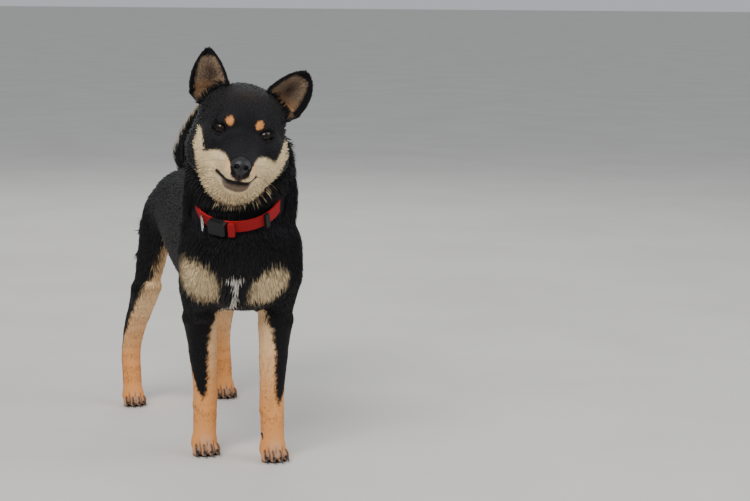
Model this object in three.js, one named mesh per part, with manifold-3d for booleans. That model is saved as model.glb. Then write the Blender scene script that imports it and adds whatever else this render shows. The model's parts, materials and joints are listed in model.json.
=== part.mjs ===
// A life-size black and tan shiba inu, standing, with its head tilted and a red webbing collar.
// Millimetres, +Z up. The dog faces -Y and its left side is +X.
import * as THREE from "three";
import { mergeVertices } from "three/addons/utils/BufferGeometryUtils.js";
import Module from "manifold-3d";

const wasm = await Module();
wasm.setup();

const { Vector3, Matrix4 } = THREE;
const RIGHT = -1;
const LEFT = 1;

// Driving dimensions
const WITHERS_HEIGHT = 387; // floor to the top of the coat over the shoulders
const BACK_HEIGHT = 382; // floor to the top of the coat over the loin
const BRISKET_HEIGHT = 199; // floor to the underside of the chest
const CHEST_FRONT = -44; // y of the forechest, from the line of the front toes
const RUMP_END = 407; // y of the buttocks
const CHEST_HALF_WIDTH = 77;
const LOIN_HALF_WIDTH = 66;
const GAP = 0.3; // between touching nodes

// Where each foot stands: the side, and how far along the body
const FORE_PAW = { [RIGHT]: { x: -43, y: 54 }, [LEFT]: { x: 42, y: -5 } };
const FORE_LEAN = { [RIGHT]: -5, [LEFT]: 2 }; // how far out of its paw each foreleg stands
const HIND_PAW = { [RIGHT]: { x: -81, y: 396 }, [LEFT]: { x: 71, y: 418 } };
const PASTERN_HEIGHT = 44; // where a forepaw meets its foreleg
const HOCK_FOOT_HEIGHT = 36; // where a hind paw meets its leg
const ELBOW_HEIGHT = 204;
const STIFLE_HEIGHT = 206;
const HOCK_HEIGHT = 104;

// The head's own frame: its origin is midway between the eyes
const EYE_MIDPOINT = new Vector3(-18, -65, 466);
const HEAD_YAW = THREE.MathUtils.degToRad(-10.5);
const HEAD_ROLL = THREE.MathUtils.degToRad(9.5);
const HEAD_PITCH = THREE.MathUtils.degToRad(1);
const EYE_SPACING = 59;
const EYE_RADIUS = 10.5;
const LID_RADIUS = 12.4;
const NOSE_TIP = 88; // from the eyes forward to the tip of the nose
const NOSE_HEIGHT = -37; // below the eyes
const SKULL_TOP = 64;
const THROAT_DEPTH = 106; // eyes to the lowest fur of the throat

// Colours
const BLACK_COAT = new THREE.MeshStandardMaterial({ color: 0x17161a, roughness: 0.8, metalness: 0 });
const TAN_COAT = new THREE.MeshStandardMaterial({ color: 0xc98f5c, roughness: 0.85, metalness: 0 });
const EAR_SKIN = new THREE.MeshStandardMaterial({ color: 0x2a2323, roughness: 0.85, metalness: 0 });
const NOSE_LEATHER = new THREE.MeshStandardMaterial({ color: 0x0c0c0e, roughness: 0.4, metalness: 0 });
const EYE_GLOSS = new THREE.MeshStandardMaterial({ color: 0x1a0f0a, roughness: 0.08, metalness: 0 });
const RED_WEBBING = new THREE.MeshStandardMaterial({ color: 0xa80c1c, roughness: 0.75, metalness: 0 });
const BLACK_PLASTIC = new THREE.MeshStandardMaterial({ color: 0x141416, roughness: 0.45, metalness: 0 });
const STEEL = new THREE.MeshStandardMaterial({ color: 0xd8d6d0, roughness: 0.25, metalness: 1 });

// Closed geometry to a solid, and back
function toSolid(geometry) {
  const bare = geometry.clone();
  bare.deleteAttribute("normal");
  bare.deleteAttribute("uv");
  const merged = mergeVertices(bare, 1e-4);
  const mesh = new wasm.Mesh({
    numProp: 3,
    vertProperties: merged.attributes.position.array,
    triVerts: new Uint32Array(merged.index.array),
  });
  return new wasm.Manifold(mesh);
}

function toGeometry(solid) {
  const pieces = solid.decompose().sort((a, b) => b.volume() - a.volume());
  const mesh = pieces[0].getMesh();
  const geometry = new THREE.BufferGeometry();
  geometry.setAttribute("position", new THREE.BufferAttribute(mesh.vertProperties, 3));
  geometry.setIndex(new THREE.BufferAttribute(mesh.triVerts, 1));
  geometry.computeVertexNormals();
  return geometry;
}

// A closed skin over a list of rings, each a list of as many points
function skinRings(rings) {
  const sides = rings[0].length;
  const points = rings.flat().map((p) => p.clone());
  const faces = [];
  const along = rings.length - 1;
  for (let i = 0; i < along; i++) {
    for (let j = 0; j < sides; j++) {
      const a = i * sides + j;
      const b = i * sides + ((j + 1) % sides);
      faces.push(a, b, b + sides, a, b + sides, a + sides);
    }
  }
  for (const [row, order] of [[0, -1], [along, 1]]) {
    const centre = new Vector3();
    rings[row].forEach((p) => centre.addScaledVector(p, 1 / sides));
    points.push(centre);
    for (let j = 0; j < sides; j++) {
      const a = row * sides + j;
      const b = row * sides + ((j + 1) % sides);
      faces.push(...(order > 0 ? [a, b, points.length - 1] : [b, a, points.length - 1]));
    }
  }
  const geometry = new THREE.BufferGeometry().setFromPoints(points);
  geometry.setIndex(faces);
  return facingOut(geometry);
}

function facingOut(geometry) {
  const position = geometry.attributes.position;
  const index = geometry.index.array;
  const corner = (i) => new Vector3().fromBufferAttribute(position, index[i]);
  let volume = 0;
  for (let i = 0; i < index.length; i += 3) {
    volume += corner(i).dot(corner(i + 1).cross(corner(i + 2)));
  }
  if (volume < 0) {
    for (let i = 0; i < index.length; i += 3) {
      [index[i], index[i + 1]] = [index[i + 1], index[i]];
    }
  }
  return geometry;
}

// The frame and girth along a spine, also a little past its end
function spineOf(stations) {
  const spine = new THREE.CatmullRomCurve3(stations.map((s) => new Vector3(s[0], s[1], s[2])));
  const girth = new THREE.CatmullRomCurve3(stations.map((s) => new Vector3(s[3], s[4], s[5])));
  const length = spine.getLength();
  const frameAt = (t) => {
    const inside = Math.min(t, 1);
    const tangent = spine.getTangent(inside);
    const centre = spine.getPoint(inside).addScaledVector(tangent, (t - inside) * length);
    const side = new Vector3(1, 0, 0).addScaledVector(tangent, -tangent.x).normalize();
    const front = new Vector3().crossVectors(side, tangent).normalize();
    return { centre, side, front };
  };
  return { length, frameAt, sizeAt: (t) => girth.getPoint(Math.min(t, 1)) };
}

// A body along a spine. A station is [x, y, z, half width, one radius, the opposite radius]. The first of
// the two is the top of the torso, the front of the neck, and the back of a leg, which runs downward.
function sweepBody(stations, { steps = 16, sides = 20, grow = 0, share = 1 } = {}) {
  const { frameAt, sizeAt } = spineOf(stations);
  const rings = [];
  for (let i = 0; i <= steps; i++) {
    const { centre, side, front } = frameAt(i / steps);
    const size = sizeAt(i / steps).multiplyScalar(share);
    const ring = [];
    for (let j = 0; j < sides; j++) {
      const angle = (2 * Math.PI * j) / sides;
      const depth = Math.sin(angle) > 0 ? size.y : size.z;
      ring.push(
        centre
          .clone()
          .addScaledVector(side, Math.cos(angle) * (size.x + grow))
          .addScaledVector(front, Math.sin(angle) * (depth + grow)),
      );
    }
    rings.push(ring);
  }
  return skinRings(rings);
}

// A flat tapered lock of coat. Its path gives [middle, breadthwise, outward] for a share of its length.
const LOCK_PROFILE = [
  [0, 0.7],
  [0.32, 1],
  [0.68, 0.72],
];
const LOCK_SIDES = 4;
function lockGeometry(path, { width, thick, grow = 0 }) {
  const points = [];
  const faces = [];
  LOCK_PROFILE.forEach(([along, share], row) => {
    const [middle, breadth, out] = path(along);
    const w = (width / 2) * share + grow;
    const h = (thick / 2) * share + grow;
    points.push(middle.clone().addScaledVector(breadth, w));
    points.push(middle.clone().addScaledVector(out, h));
    points.push(middle.clone().addScaledVector(breadth, -w));
    points.push(middle.clone().addScaledVector(out, -h));
    if (row === 0) return;
    for (let j = 0; j < LOCK_SIDES; j++) {
      const a = (row - 1) * LOCK_SIDES + j;
      const b = (row - 1) * LOCK_SIDES + ((j + 1) % LOCK_SIDES);
      faces.push(a, b, b + LOCK_SIDES, a, b + LOCK_SIDES, a + LOCK_SIDES);
    }
  });
  const last = points.length - LOCK_SIDES;
  points.push(path(1)[0]);
  for (let j = 0; j < LOCK_SIDES; j++) {
    faces.push(last + j, last + ((j + 1) % LOCK_SIDES), points.length - 1);
  }
  faces.push(0, 2, 1, 0, 3, 2);
  const geometry = new THREE.BufferGeometry().setFromPoints(points);
  geometry.setIndex(faces);
  return facingOut(geometry);
}

// Repeatable small variations
function seeded(seed) {
  const STEP = 1664525;
  const SHIFT = 1013904223;
  const RANGE = 2 ** 32;
  let state = seed;
  return (low, high) => {
    state = (state * STEP + SHIFT) % RANGE;
    return low + ((high - low) * state) / RANGE;
  };
}

function boxSolid(low, high) {
  const size = new Vector3().subVectors(high, low);
  const box = new THREE.BoxGeometry(size.x, size.y, size.z);
  box.translate((low.x + high.x) / 2, (low.y + high.y) / 2, (low.z + high.z) / 2);
  return toSolid(box);
}

const FAR = 900;
const above = (z) => boxSolid(new Vector3(-FAR, -FAR, z), new Vector3(FAR, FAR, FAR));
const below = (z) => boxSolid(new Vector3(-FAR, -FAR, -FAR), new Vector3(FAR, FAR, z));

// An ellipsoid, as the deformed sphere that toes, claws and pads start from
function ellipsoid(centre, radii, { turn = 0, tip = 0, wide = 12, high = 8 } = {}) {
  const geometry = new THREE.SphereGeometry(1, wide, high);
  geometry.scale(radii.x, radii.y, radii.z);
  geometry.rotateX(tip);
  geometry.rotateZ(turn);
  geometry.translate(centre.x, centre.y, centre.z);
  return geometry;
}

const unite = (geometries) => geometries.map(toSolid).reduce((whole, part) => whole.add(part));

// The torso, from the forechest to the buttocks: [x, y, z, half width, top, bottom]
function torsoStations() {
  const chest = (WITHERS_HEIGHT + BRISKET_HEIGHT) / 2;
  const deep = (WITHERS_HEIGHT - BRISKET_HEIGHT) / 2;
  return [
    [2, CHEST_FRONT, 266, 16, 14, 16],
    [3, CHEST_FRONT + 8, 268, 58, 42, 52],
    [4, 0, 280, 77, 74, 76],
    [4, 45, chest, CHEST_HALF_WIDTH + 2, deep, deep],
    [3, 110, chest + 2, CHEST_HALF_WIDTH + 2, deep - 2, deep],
    [2, 180, 300, CHEST_HALF_WIDTH, BACK_HEIGHT - 300, 88],
    [0, 245, 310, LOIN_HALF_WIDTH + 4, BACK_HEIGHT - 310, 72],
    [-1, 300, 318, LOIN_HALF_WIDTH, BACK_HEIGHT - 317, 62],
    [-2, 350, 318, LOIN_HALF_WIDTH - 1, BACK_HEIGHT - 320, 64],
    [-3, RUMP_END - 22, 310, 51, 52, 56],
    [-3, RUMP_END - 5, 303, 30, 33, 34],
    [-3, RUMP_END, 301, 10, 12, 12],
  ];
}
const torsoBody = (grow) => toSolid(sweepBody(torsoStations(), { steps: 17, sides: 20, grow }));

// The neck, from inside the shoulders up into the back of the skull
function neckStations() {
  return [
    [4, 72, 296, 66, 70, 62],
    [4, 54, 330, 80, 88, 60],
    [3, 36, 366, 84, 80, 58],
    [0, 20, 400, 80, 66, 58],
    [-2, 10, 432, 75, 52, 54],
    [-4, 8, 456, 62, 38, 42],
    [-8, 0, 480, 40, 30, 30],
  ];
}

// Signed distances for the head, which is one smooth blend of ellipsoids and tapered bars
const clamp01 = (v) => Math.min(1, Math.max(0, v));

function ellipsoidDistance(p, c, r) {
  const q = [(p.x - c[0]) / r[0], (p.y - c[1]) / r[1], (p.z - c[2]) / r[2]];
  const k0 = Math.hypot(...q);
  const k1 = Math.hypot(q[0] / r[0], q[1] / r[1], q[2] / r[2]);
  return (k0 * (k0 - 1)) / Math.max(k1, 1e-6);
}

function barDistance(p, a, b, ra, rb) {
  const ab = [b[0] - a[0], b[1] - a[1], b[2] - a[2]];
  const ap = [p.x - a[0], p.y - a[1], p.z - a[2]];
  const length2 = ab[0] ** 2 + ab[1] ** 2 + ab[2] ** 2;
  const t = clamp01((ap[0] * ab[0] + ap[1] * ab[1] + ap[2] * ab[2]) / length2);
  return Math.hypot(ap[0] - ab[0] * t, ap[1] - ab[1] * t, ap[2] - ab[2] * t) - (ra + (rb - ra) * t);
}

function blend(a, b, k) {
  const h = clamp01(0.5 + (0.5 * (b - a)) / k);
  return b + (a - b) * h - k * h * (1 - h);
}

const NOSE_BACK = 26 - NOSE_TIP; // where the bridge of the muzzle ends
function headDistance(point) {
  const p = { x: Math.abs(point.x), y: point.y, z: point.z };
  const eye = EYE_SPACING / 2;
  let d = ellipsoidDistance(p, [0, 54, SKULL_TOP - 55], [61, 67, 55]);
  d = blend(d, ellipsoidDistance(p, [0, 27, 14], [43, 40, 37]), 14);
  d = blend(d, ellipsoidDistance(p, [37, 42, -30], [35, 46, 40]), 16);
  d = blend(d, ellipsoidDistance(p, [0, 36, -56], [50, 44, THROAT_DEPTH - 56]), 16);
  d = blend(d, ellipsoidDistance(p, [35, 12, -16], [24, 26, 22]), 12);
  d = blend(d, ellipsoidDistance(p, [19, -3, 13], [13, 11, 10]), 8);
  d = blend(d, barDistance(p, [0, 6, -27], [0, NOSE_BACK, -41], 36, 20.5), 14);
  d = blend(d, barDistance(p, [0, 10, -58], [0, NOSE_BACK + 6, -60], 32, 15.5), 8);
  d = blend(d, ellipsoidDistance(p, [11, NOSE_BACK + 2, -46], [12, 17, 12]), 5);
  d = blend(d, ellipsoidDistance(p, [eye, 0, 0], [LID_RADIUS, LID_RADIUS, LID_RADIUS]), 6);
  return d;
}

// Rays from inside the head find its surface. They crowd round the muzzle, where the pole points.
const HEAD_CORE = new Vector3(0, 18, -24);
function headSkin(grow, { rows = 30, sides = 32 } = {}) {
  const FRONT_SHARE = 0.34; // of the rows' even spacing that is kept at the muzzle
  const rings = [];
  for (let i = 1; i < rows; i++) {
    const s = i / rows;
    const polar = Math.PI * (FRONT_SHARE * s + (1 - FRONT_SHARE) * s * s);
    const ring = [];
    for (let j = 0; j < sides; j++) {
      const turn = (2 * Math.PI * (j + 0.5)) / sides;
      const ray = new Vector3(
        Math.sin(polar) * Math.sin(turn),
        -Math.cos(polar),
        Math.sin(polar) * Math.cos(turn),
      );
      ring.push(surfacePoint(ray, grow));
    }
    rings.push(ring);
  }
  return skinRings(rings);
}

function surfacePoint(ray, grow) {
  const START = 190;
  let reach = START;
  for (let k = 0; k < 80; k++) {
    const d = headDistance(HEAD_CORE.clone().addScaledVector(ray, reach)) - grow;
    if (d < 0.02) break;
    reach -= d * 0.8;
  }
  return HEAD_CORE.clone().addScaledVector(ray, reach);
}

// An almond prism along the gaze, which opens the lids
const GAZE_TURN = 0.2; // outward, radians
const EYE_SLANT = 0.3; // the outer corner sits higher
function lidOpening(side) {
  const HALF_LENGTH = 9.3;
  const UPPER = 5.2;
  const LOWER = 4.4;
  const almond = new THREE.Shape();
  almond.moveTo(-HALF_LENGTH, 0);
  almond.quadraticCurveTo(-1, UPPER * 2, HALF_LENGTH, 0);
  almond.quadraticCurveTo(0, -LOWER * 2, -HALF_LENGTH, 0);
  const prism = new THREE.ExtrudeGeometry(almond, { depth: 20, bevelEnabled: false, curveSegments: 7 });
  prism.rotateX(Math.PI / 2);
  prism.rotateY(-side * EYE_SLANT);
  prism.rotateZ(side * GAZE_TURN);
  prism.translate((side * EYE_SPACING) / 2, 0, 0);
  return toSolid(prism);
}

// A thin wedge that cuts the line between the lips, from one corner of the mouth round to the other
function mouthLine() {
  const CORNER = { x: 33, y: -6, z: -54 };
  const FRONT = { y: -72, z: -60 };
  const INSIDE = 13;
  const OUTSIDE = 9;
  const OPEN = 1.7;
  const rings = [];
  const steps = 18;
  for (let i = 0; i <= steps; i++) {
    const a = (i / steps - 0.5) * Math.PI;
    const out = new Vector3(Math.sin(a), -Math.cos(a) * 0.8, 0).normalize();
    const line = new Vector3(
      CORNER.x * Math.sin(a),
      CORNER.y + (FRONT.y - CORNER.y) * Math.cos(a),
      CORNER.z + (FRONT.z - CORNER.z) * Math.cos(a) ** 0.7,
    );
    const open = OPEN * (0.6 + 0.4 * Math.cos(a));
    rings.push([
      line.clone().addScaledVector(out, -INSIDE),
      line.clone().addScaledVector(out, OUTSIDE).add(new Vector3(0, 0, open)),
      line.clone().addScaledVector(out, OUTSIDE).add(new Vector3(0, 0, -open)),
    ]);
  }
  return toSolid(skinRings(rings));
}

function makeHead() {
  let solid = toSolid(headSkin(0));
  solid = solid.subtract(mouthLine());
  for (const side of [RIGHT, LEFT]) {
    const socket = ellipsoid(
      new Vector3((side * EYE_SPACING) / 2, 0, 0),
      new Vector3(1, 1, 1).multiplyScalar(EYE_RADIUS + GAP),
      { wide: 12, high: 8 },
    );
    solid = solid.subtract(lidOpening(side)).subtract(toSolid(socket));
  }
  return solid;
}

function makeEye(side) {
  const ball = ellipsoid(
    new Vector3((side * EYE_SPACING) / 2, 0, 0),
    new Vector3(1, 1, 1).multiplyScalar(EYE_RADIUS),
    { wide: 12, high: 8 },
  );
  return toSolid(ball);
}

// The nose leather, wide above and narrow below, with two comma-shaped nostrils
function makeNose(headCut) {
  const HALF_WIDTH = 13.4;
  const DEPTH = 13;
  const HALF_HEIGHT = 13.5;
  const leather = new THREE.SphereGeometry(1, 14, 9);
  leather.rotateX(Math.PI / 2);
  const position = leather.attributes.position;
  for (let i = 0; i < position.count; i++) {
    const p = new Vector3().fromBufferAttribute(position, i);
    const narrow = p.z < 0 ? 1 + 0.42 * p.z : 1;
    const flat = p.z > 0 ? 0.88 : 1;
    position.setXYZ(i, p.x * HALF_WIDTH * narrow, p.y * DEPTH, p.z * HALF_HEIGHT * flat);
  }
  leather.translate(0, DEPTH - NOSE_TIP, NOSE_HEIGHT);
  let solid = toSolid(leather);
  for (const side of [RIGHT, LEFT]) {
    const mouth = new Vector3(side * 5.6, -NOSE_TIP + 1.5, NOSE_HEIGHT - 0.5);
    const slit = new Vector3(side * 10, -NOSE_TIP + 4.5, NOSE_HEIGHT - 2.5);
    const round = ellipsoid(mouth, new Vector3(3, 5, 2.7), { turn: side * 0.3, wide: 6, high: 4 });
    const thin = ellipsoid(slit, new Vector3(4, 4, 1.2), { tip: 0.2, wide: 6, high: 4 });
    solid = solid.subtract(toSolid(round)).subtract(toSolid(thin));
  }
  return solid.subtract(headCut);
}

// One ear: a cup, open to the front, whose two faces meet at a rounded rim
const EAR = {
  cup: 23, // how far its back stands behind its rim
  thick: 5.6,
  rim: 3.2,
};
const EAR_PLACE = {
  [RIGHT]: {
    inner: new Vector3(25, 43, 55), // the corner of its base near the crown
    outer: new Vector3(73, 58, 30), // the corner near the cheek
    tip: new Vector3(63, 32, 101),
    bow: new Vector3(3, 0, 0), // how far its middle bends off a straight line
  },
  [LEFT]: {
    inner: new Vector3(25, 43, 57),
    outer: new Vector3(71, 60, 22),
    tip: new Vector3(75, 32, 91),
    bow: new Vector3(5, 0, 4),
  },
};
const EAR_ROOT = new Vector3(12, 58, 4); // its base runs in towards this place in the skull
function makeEar(side, headCut) {
  const TOP = 0.975; // and stops just short of a point
  const rows = 9;
  const columns = 8;
  const SUNK = -0.42; // the cup starts this far down, inside the head
  const { inner, outer, tip, bow } = EAR_PLACE[side];
  const middle = inner.clone().add(outer).multiplyScalar(0.5);
  const halfWidth = inner.distanceTo(outer) / 2;
  const surface = (v, w) => {
    const up = Math.max(0, v);
    const width = halfWidth * Math.max(0.02, 1 - up ** 1.75) ** 0.72;
    const sideways = outer.clone().sub(inner).normalize();
    sideways.lerp(new Vector3(0.93, 0, -0.36), up * 0.5).normalize();
    const angle = (w * Math.PI) / 2;
    const lean = middle.clone().lerp(tip, up).addScaledVector(bow, 4 * up * (1 - up));
    const back = EAR.cup * (1 - 0.8 * up) * Math.cos(angle);
    return lean
      .addScaledVector(sideways, width * Math.sin(angle))
      .add(new Vector3(0, back - 3 * Math.sin(Math.PI * up), 0))
      .lerp(EAR_ROOT, Math.max(0, -v));
  };
  const STEP = 1e-3;
  const face = (v, w, sign) => {
    const p = surface(v, w);
    const dv = surface(Math.min(v + STEP, 0.999), w).sub(surface(Math.min(v, 0.998), w));
    const dw = surface(v, Math.min(w + STEP, 1)).sub(surface(v, Math.min(w, 1 - STEP)));
    const normal = new Vector3().crossVectors(dw, dv).normalize();
    const body = EAR.rim + (EAR.thick - EAR.rim) * (1 - w * w) * (1 - clamp01(v));
    const thick = body * (1 - 0.5 * clamp01(v) ** 3);
    return p.addScaledVector(normal, (sign * thick) / 2);
  };
  const rings = [];
  for (let i = 0; i <= rows; i++) {
    const s = i / rows;
    const v = SUNK + (TOP - SUNK) * Math.sin((s * Math.PI) / 2) ** 0.95;
    const ring = [];
    for (let j = 0; j <= columns; j++) {
      ring.push(face(v, (2 * j) / columns - 1, 1));
    }
    for (let j = columns; j >= 0; j--) {
      ring.push(face(v, (2 * j) / columns - 1, -1));
    }
    ring.forEach((p) => (p.x *= side));
    rings.push(ring);
  }
  return toSolid(skinRings(rings)).subtract(headCut);
}

// A foreleg from the shoulder down into the paw
function forelegStations(side) {
  const paw = FORE_PAW[side];
  const stride = paw.y - (FORE_PAW[RIGHT].y + FORE_PAW[LEFT].y) / 2;
  const lean = FORE_LEAN[side];
  const x = (out) => paw.x + side * out;
  const y = (home, share) => home + stride * share;
  return [
    [side * 32, y(62, 0.1), 360, 20, 30, 34],
    [side * 55, y(30, 0.2), 318, 32, 48, 46],
    [side * 59, y(16, 0.3), 272, 31, 46, 46],
    [side * 56, y(36, 0.5), 234, 28, 36, 42],
    [x(lean + 9), y(48, 0.7), ELBOW_HEIGHT - 4, 25.5, 26, 31],
    [x(lean + 5), y(45, 0.85), 162, 21.5, 21, 22],
    [x(lean + 2), y(43, 0.95), 122, 18, 17.5, 18],
    [x(lean), y(42, 1), 86, 16.5, 16, 17],
    [x(lean / 2), y(38, 1), 58, 17.5, 16, 17],
    [x(0), y(31, 1), 36, 18.5, 17, 17],
    [x(0), y(26, 1), 18, 17.5, 16, 16],
  ];
}

// A hind leg from the hip down into the paw
function hindlegStations(side) {
  const paw = HIND_PAW[side];
  const x = (out) => paw.x + side * out;
  const y = (ahead) => paw.y + ahead;
  return [
    [side * 34, y(-36), 350, 20, 34, 30],
    [side * 51, y(-46), 308, 29, 52, 42],
    [side * 57, y(-52), 262, 28, 52, 44],
    [x(-14), y(-56), 222, 25, 38, 40],
    [x(-10), y(-38), 182, 20.5, 28, 29],
    [x(-5), y(-4), 140, 17, 18, 20],
    [x(-2), y(20), HOCK_HEIGHT, 15, 17, 19],
    [x(0), y(24), 72, 14.5, 14.5, 15.5],
    [x(0), y(18), 44, 15.5, 15, 15.5],
    [x(0), y(10), 26, 17, 16, 16],
    [x(0), y(2), 14, 16.5, 15, 15],
  ];
}

// The toes and claws in front of a paw, from its centre
function toes(centre, scale) {
  const shapes = [];
  const places = [
    { x: -14.4, y: -8, turn: -0.16 },
    { x: -5, y: -14, turn: -0.05 },
    { x: 5, y: -14, turn: 0.05 },
    { x: 14.4, y: -8, turn: 0.16 },
  ];
  for (const place of places) {
    const at = new Vector3(centre.x + place.x * scale, centre.y + place.y * scale, 9.2 * scale);
    const size = new Vector3(6.7, 13.5, 10.5).multiplyScalar(scale);
    shapes.push(ellipsoid(at, size, { turn: place.turn, tip: 0.24, wide: 7, high: 5 }));
    const claw = new THREE.ConeGeometry(2.4 * scale, 10 * scale, 4);
    claw.rotateX(Math.PI * 0.7);
    claw.rotateZ(place.turn);
    claw.translate(at.x, at.y - 12.5 * scale, 7.4 * scale);
    shapes.push(claw);
  }
  const hand = new Vector3(centre.x, centre.y + 4 * scale, 15 * scale);
  shapes.push(ellipsoid(hand, new Vector3(18, 20, 17).multiplyScalar(scale), { wide: 9, high: 6 }));
  return shapes;
}

function dewclaw(side) {
  const paw = FORE_PAW[side];
  const claw = new THREE.ConeGeometry(2.6, 11, 4);
  claw.rotateX(Math.PI * 0.85);
  claw.translate(paw.x - side * 17.2, paw.y + 25, 37);
  return claw;
}

// The tail rises from the croup and curls over the back to the dog's left
function tailStations() {
  return [
    [2, 362, 338, 22, 22, 22],
    [8, 392, 370, 29, 29, 29],
    [20, 400, 408, 31, 31, 31],
    [36, 380, 443, 32, 32, 32],
    [54, 340, 463, 32, 32, 32],
    [70, 298, 454, 31, 31, 31],
    [80, 274, 424, 27, 27, 27],
    [79, 272, 398, 17, 17, 17],
    [76, 277, 384, 6, 6, 6],
  ];
}

// Its long coat: rings of locks that leave the tail's core and bend along it to its outline
const TAIL_CORE = 0.5; // of the girth
function tailLocks() {
  const RINGS = 6;
  const FIRST = 0.07;
  const LAST = 0.8;
  const END = 1.03; // no lock reaches further than this along the tail
  const AROUND = 5;
  const LOCK_LENGTH = 104;
  const { length, frameAt, sizeAt } = spineOf(tailStations());
  const vary = seeded(11);
  const locks = [];
  for (let i = 0; i < RINGS; i++) {
    const start = FIRST + ((LAST - FIRST) * i) / (RINGS - 1);
    for (let j = 0; j < AROUND; j++) {
      const turn = ((j + (i % 2) / 2 + vary(-0.08, 0.08)) * 2 * Math.PI) / AROUND;
      const reach = Math.min((LOCK_LENGTH * vary(0.9, 1.1)) / length, END - start);
      const flare = vary(0.93, 1.04);
      const path = (along) => {
        const t = start + reach * along;
        const { centre, side, front } = frameAt(t);
        const out = side.clone().multiplyScalar(Math.cos(turn)).addScaledVector(front, Math.sin(turn));
        const breadth = side.clone().multiplyScalar(-Math.sin(turn)).addScaledVector(front, Math.cos(turn));
        const radius = sizeAt(t).x * (0.3 + 0.7 * Math.sin((along * Math.PI) / 2)) * flare;
        return [centre.addScaledVector(out, radius), breadth, out];
      };
      const girth = sizeAt(start + reach / 2).x;
      locks.push(lockGeometry(path, { width: girth * 1.12, thick: girth * 0.3 }));
    }
  }
  return locks;
}

// The ruff: a row of locks that lies back along the cheeks and hangs at the throat, in the head's own frame
function ruffLocks(grow = 0) {
  const COUNT = 9;
  const SPREAD = 1.3; // radians each way from straight down
  const WIDTH = 27;
  const THICK = 6;
  const SWEEP = 0.5; // radians a lock lies back along the skin
  const CURVE = 0.3; // how much further back the highest ones start
  const ROOT_DEPTH = -4; // under the skin at the root
  const TIP_HEIGHT = 8; // and clear of it at the tip
  const vary = seeded(23);
  const locks = [];
  for (let i = 0; i < COUNT; i++) {
    const share = (2 * i) / (COUNT - 1) - 1;
    const turn = share * SPREAD;
    const end = CURVE * share * share;
    const sweep = SWEEP * vary(0.85, 1.15);
    const down = new Vector3(Math.sin(turn), 0, -Math.cos(turn));
    const path = (along) => {
      const swing = end + sweep * (along - 1);
      const ray = down.clone().multiplyScalar(Math.cos(swing)).add(new Vector3(0, Math.sin(swing), 0));
      const middle = surfacePoint(ray, ROOT_DEPTH + (TIP_HEIGHT - ROOT_DEPTH) * along);
      const breadth = new Vector3(0, 1, 0).cross(down).normalize();
      return [middle, breadth, ray];
    };
    locks.push(lockGeometry(path, { width: WIDTH, thick: THICK, grow }));
  }
  return locks;
}

// The breeches: locks that hang behind each thigh
function breechLocks(side) {
  const COUNT = 5;
  const HIGHEST = 0.07; // shares of the leg's length
  const STEP = 0.055;
  const REACH = 0.12;
  const vary = seeded(side + 40);
  const { frameAt, sizeAt } = spineOf(hindlegStations(side));
  const locks = [];
  for (let i = 0; i < COUNT; i++) {
    const start = HIGHEST + STEP * i;
    const turn = (i % 2 ? -0.45 : 0.3) * side;
    const path = (along) => {
      const t = start + REACH * along;
      const { centre, side: breadth, front: rear } = frameAt(t);
      const out = rear.clone().multiplyScalar(Math.cos(turn)).addScaledVector(breadth, Math.sin(turn));
      const radius = sizeAt(t).y * (0.82 + 0.3 * along);
      return [centre.addScaledVector(out, radius), breadth, out];
    };
    locks.push(lockGeometry(path, { width: 26 * vary(0.9, 1.1), thick: 7 }));
  }
  return locks;
}

// The collar: a webbing band round the neck, lower in front
const COLLAR = {
  centre: new Vector3(-6, 13, 369),
  halfWidth: 59,
  halfDepth: 64,
  width: 17,
  thick: 2.6,
  tilt: 0.5, // the front hangs lower than the nape
  roll: -0.2, // the dog's left side rides higher
};
function collarFrame() {
  const frame = new Matrix4().makeRotationFromEuler(new THREE.Euler(COLLAR.tilt, COLLAR.roll, 0));
  frame.setPosition(COLLAR.centre);
  return frame;
}
function collarRing(inside, outside, halfHeight, sides = 32) {
  const rings = [];
  for (let i = 0; i < sides; i++) {
    const a = (2 * Math.PI * i) / sides;
    const at = (grow, z) =>
      new Vector3(
        Math.cos(a) * (COLLAR.halfWidth + grow),
        Math.sin(a) * (COLLAR.halfDepth + grow),
        z,
      );
    rings.push([
      at(inside, -halfHeight),
      at(outside, -halfHeight),
      at(outside, halfHeight),
      at(inside, halfHeight),
    ]);
  }
  return toSolid(closedLoop(rings).applyMatrix4(collarFrame()));
}

// Like skinRings, but the last ring joins the first
function closedLoop(rings) {
  const sides = rings[0].length;
  const faces = [];
  rings.forEach((_, i) => {
    const next = (i + 1) % rings.length;
    for (let j = 0; j < sides; j++) {
      const k = (j + 1) % sides;
      faces.push(i * sides + j, i * sides + k, next * sides + k);
      faces.push(i * sides + j, next * sides + k, next * sides + j);
    }
  });
  const geometry = new THREE.BufferGeometry().setFromPoints(rings.flat());
  geometry.setIndex(faces);
  return facingOut(geometry);
}

// A place on the band's outer face: the angle round the neck, 0 at the dog's left and -90 degrees in front
function onCollar(degrees) {
  const a = THREE.MathUtils.degToRad(degrees);
  const out = new Vector3(Math.cos(a) / COLLAR.halfWidth, Math.sin(a) / COLLAR.halfDepth, 0).normalize();
  const at = new Vector3(
    Math.cos(a) * COLLAR.halfWidth,
    Math.sin(a) * COLLAR.halfDepth,
    0,
  ).addScaledVector(out, COLLAR.thick + GAP);
  const along = new Vector3(-out.y, out.x, 0);
  const local = new Matrix4().makeBasis(along, new Vector3(0, 0, 1), out.clone());
  local.setPosition(at);
  return collarFrame().multiply(local);
}

// The fittings on the band. Each grows on every side to make the hollow it presses into the coat.
const onBand = (geometry, degrees) => toSolid(geometry.applyMatrix4(onCollar(degrees)));

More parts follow.
